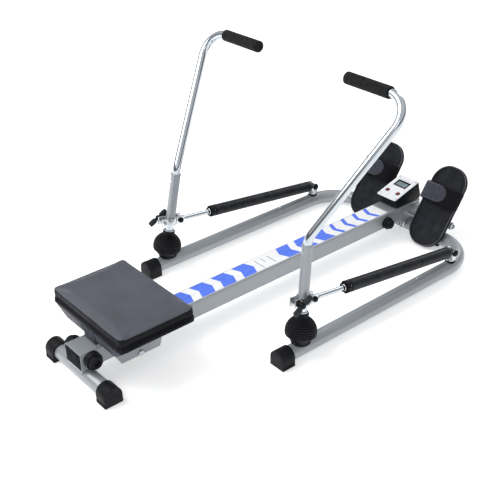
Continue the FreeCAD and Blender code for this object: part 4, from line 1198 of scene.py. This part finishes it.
def make_console():
    """The display behind its window, the printed lines, the buttons and the face screws."""
    place = console_frame()
    low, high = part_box("console_window")
    half_across = (high.y - low.y) / MM / 2 - WINDOW_EDGE
    rear = (place.inverted() @ low).x / MM + WINDOW_EDGE
    front = (place.inverted() @ high).x / MM - WINDOW_EDGE
    panel = [rounded_outline(rear, front - 5, -half_across, half_across - 3, 1.5, 4)]
    plates("display_panel", panel, place, PANEL_LOW, PANEL_TOP, "root", "display_panel")
    digits = digit_outlines("0125", (rear + front) / 2 + 1.5, half_across - 5)
    plates("display_digits", digits, place, PANEL_TOP, SEGMENT_TOP, "root", "segment_black")
    scale_bar = [box_outline(rear + 1.6, rear + 2.6, y, y + 2.2) for y in range(-16, 15, 4)]
    plates("display_scale", scale_bar, place, PANEL_TOP, SEGMENT_TOP, "root", "segment_black")
    lines = [box_outline(front + 9.0, front + 10.2, -30, 30), box_outline(rear - 6.2, rear - 5.2, -30, 30)]
    plates("face_lines", lines, place, FACE_TOP, FACE_TOP + 0.12, "root", "mark_grey")
    screw = [(0.0, 0.35), (0.8, 0.35), (0.9, 0.9, 0.2), (2.6, 0.9, 0.4), (3.0, 0.0)]
    for label, _ in SIDES:
        make_button(label)
    for name, side in (("left", 1), ("right", -1)):
        for x, end in ((-50, "rear"), (52, "front")):
            hole = shifted(place, x, side * 35.5, FACE_TOP)
            lathe(f"face_screw_{end}_{name}", screw, hole, "root", "zinc_steel", around=32)


BUTTON_ALONG = -26


def make_button(label):
    """Dished push button and the collar it moves in."""
    low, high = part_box(f"button_{label}")
    across = (low.y + high.y) / 2 / MM
    face = console_frame()
    place = shifted(face, BUTTON_ALONG, across, 0.1)
    cap = [
        (7.4, -3.7), (7.4, -2.5, 0.3), (5.95, -2.1, 0.3), (5.95, 3.4, 1.1), (4.3, 4.3, 0.9), (0, 3.7),
    ]
    piece = lathe(f"button_cap_{label}", cap, place, f"button_{label}", "red_plastic")
    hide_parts(f"button_{label}")
    collar = [(6.25, 1.8), (8.2, 1.8, 0.2), (7.8, 2.9, 0.4), (6.4, 2.7, 0.3)]
    seat = shifted(face, BUTTON_ALONG, across, 0)
    lathe(f"button_collar_{label}", collar, seat, "root", "black_plastic", shell=True)


# ---- frame
RIPPLE_LENGTH = 0.0009
SADDLE_X = 20.4
SADDLE_Y = 35.3
SADDLE_Z = 39.5
CRADLE_X = (("rear", 595.6), ("front", 628.4))
CRADLE_Z = 47.5
RIVET_PLACE = (326, 318, 49.2)
GROOVE_LEVELS = (0.005, 0.009)
GROOVE_RADIUS = 0.0009
REAR_GROOVE = (0.112, 0.155)
BASE_GROOVE_Y = 0.3453


def weld_bead(name, start, end, radius):
    """A row of overlapping weld ripples between two points, in mm."""
    start = Vector(start) * MM
    end = Vector(end) * MM
    steps = max(10, round((end - start).length / RIPPLE_LENGTH))
    path = [start.lerp(end, i / steps) for i in range(steps + 1)]

    def ripple(t):
        ends = min(1, 8 * min(t, 1 - t) + 0.35)
        return ends * (1 + 0.16 * math.sin(t * steps * 1.7))

    new_piece(name, swept_mesh(name, path, radius * MM, swell=ripple), "root", "silver_paint")


def make_frame_details():
    """Weld beads at the rear saddle and the front cradle, and the rivets on the base."""
    low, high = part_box("rear_feet")
    tube_x = (low.x + high.x) / 2 / MM
    for name, x in (("rear", tube_x - SADDLE_X), ("front", tube_x + SADDLE_X)):
        weld_bead(f"weld_saddle_{name}", (x, -34, SADDLE_Z), (x, 34, SADDLE_Z), 1.8)
    for name, y in (("right", -SADDLE_Y), ("left", SADDLE_Y)):
        weld_bead(f"weld_saddle_{name}", (tube_x - 19, y, SADDLE_Z), (tube_x + 19, y, SADDLE_Z), 1.6)
    for name, x in CRADLE_X:
        weld_bead(f"weld_cradle_{name}", (x, -42, CRADLE_Z), (x, 42, CRADLE_Z), 1.8)
    rivet = [(7.0, 0), (7.0, 1.2, 0.4), (5.2, 1.5, 0.3), (4.4, 3.2, 1.2), (0, 4.2)]
    x, y, z = RIVET_PLACE
    for label, side in SIDES:
        place = Matrix.Translation(Vector((x, side * y, z)) * MM)
        lathe(f"tube_rivet_{label}", rivet, place, "root", "chrome")


def make_floor_ribs():
    """Tread grooves of the rubber feet, just above their soles."""
    for node in ("rear_feet", "base_feet"):
        low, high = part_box(node)
        for label, side in SIDES:
            if node == "rear_feet":
                y_low, y_high = sorted(side * y for y in REAR_GROOVE)
                edges = [((x, y_low), (x, y_high)) for x in (low.x - 0.0003, high.x + 0.0003)]
            else:
                y = side * BASE_GROOVE_Y
                edges = [((low.x + 0.002, y), (high.x - 0.002, y))]
            rods = [[Vector((*end, z)) for end in edge] for z in GROOVE_LEVELS for edge in edges]
            name = f"{node}_ribs_{label}"
            new_piece(name, merged_rods(name, rods, GROOVE_RADIUS), "root", "black_rubber")


SOFT_EDGES = {
    "beam_end_plugs": 1.2, "base_feet": 2.0, "rear_feet": 2.2, "front_pads": 1.5, "track_bumpers": 1.3,
    "seat_pan": 2.0, "seat_carriage": 0.9, "console_case": 1.6, "console_stem": 1.5,
    "foot_pedal_left": 1.4, "foot_pedal_right": 1.4, "cylinder_clamp_left": 0.7, "cylinder_clamp_right": 0.7,
    "swivel_bracket_left": 0.6, "swivel_bracket_right": 0.6, "front_cradle": 0.7, "rear_stabiliser": 0.6,
    "axle_spacers": 0.8,
}


add_camera()
add_studio()
add_floor()
paint_cad_nodes()
make_seat()
make_rail_print()
make_console()
make_frame_details()
make_floor_ribs()
for soft_node, edge_width in SOFT_EDGES.items():
    softened_copy(soft_node, edge_width)
for side_label, side_sign in SIDES:
    make_boot(side_label)
    make_boot_foot(side_label)
    make_grip(side_label, side_sign)
    make_tube_details(side_label)
    make_screw_handle(side_label, side_sign)
    make_cylinder(side_label)
    make_pedal(side_label, side_sign)
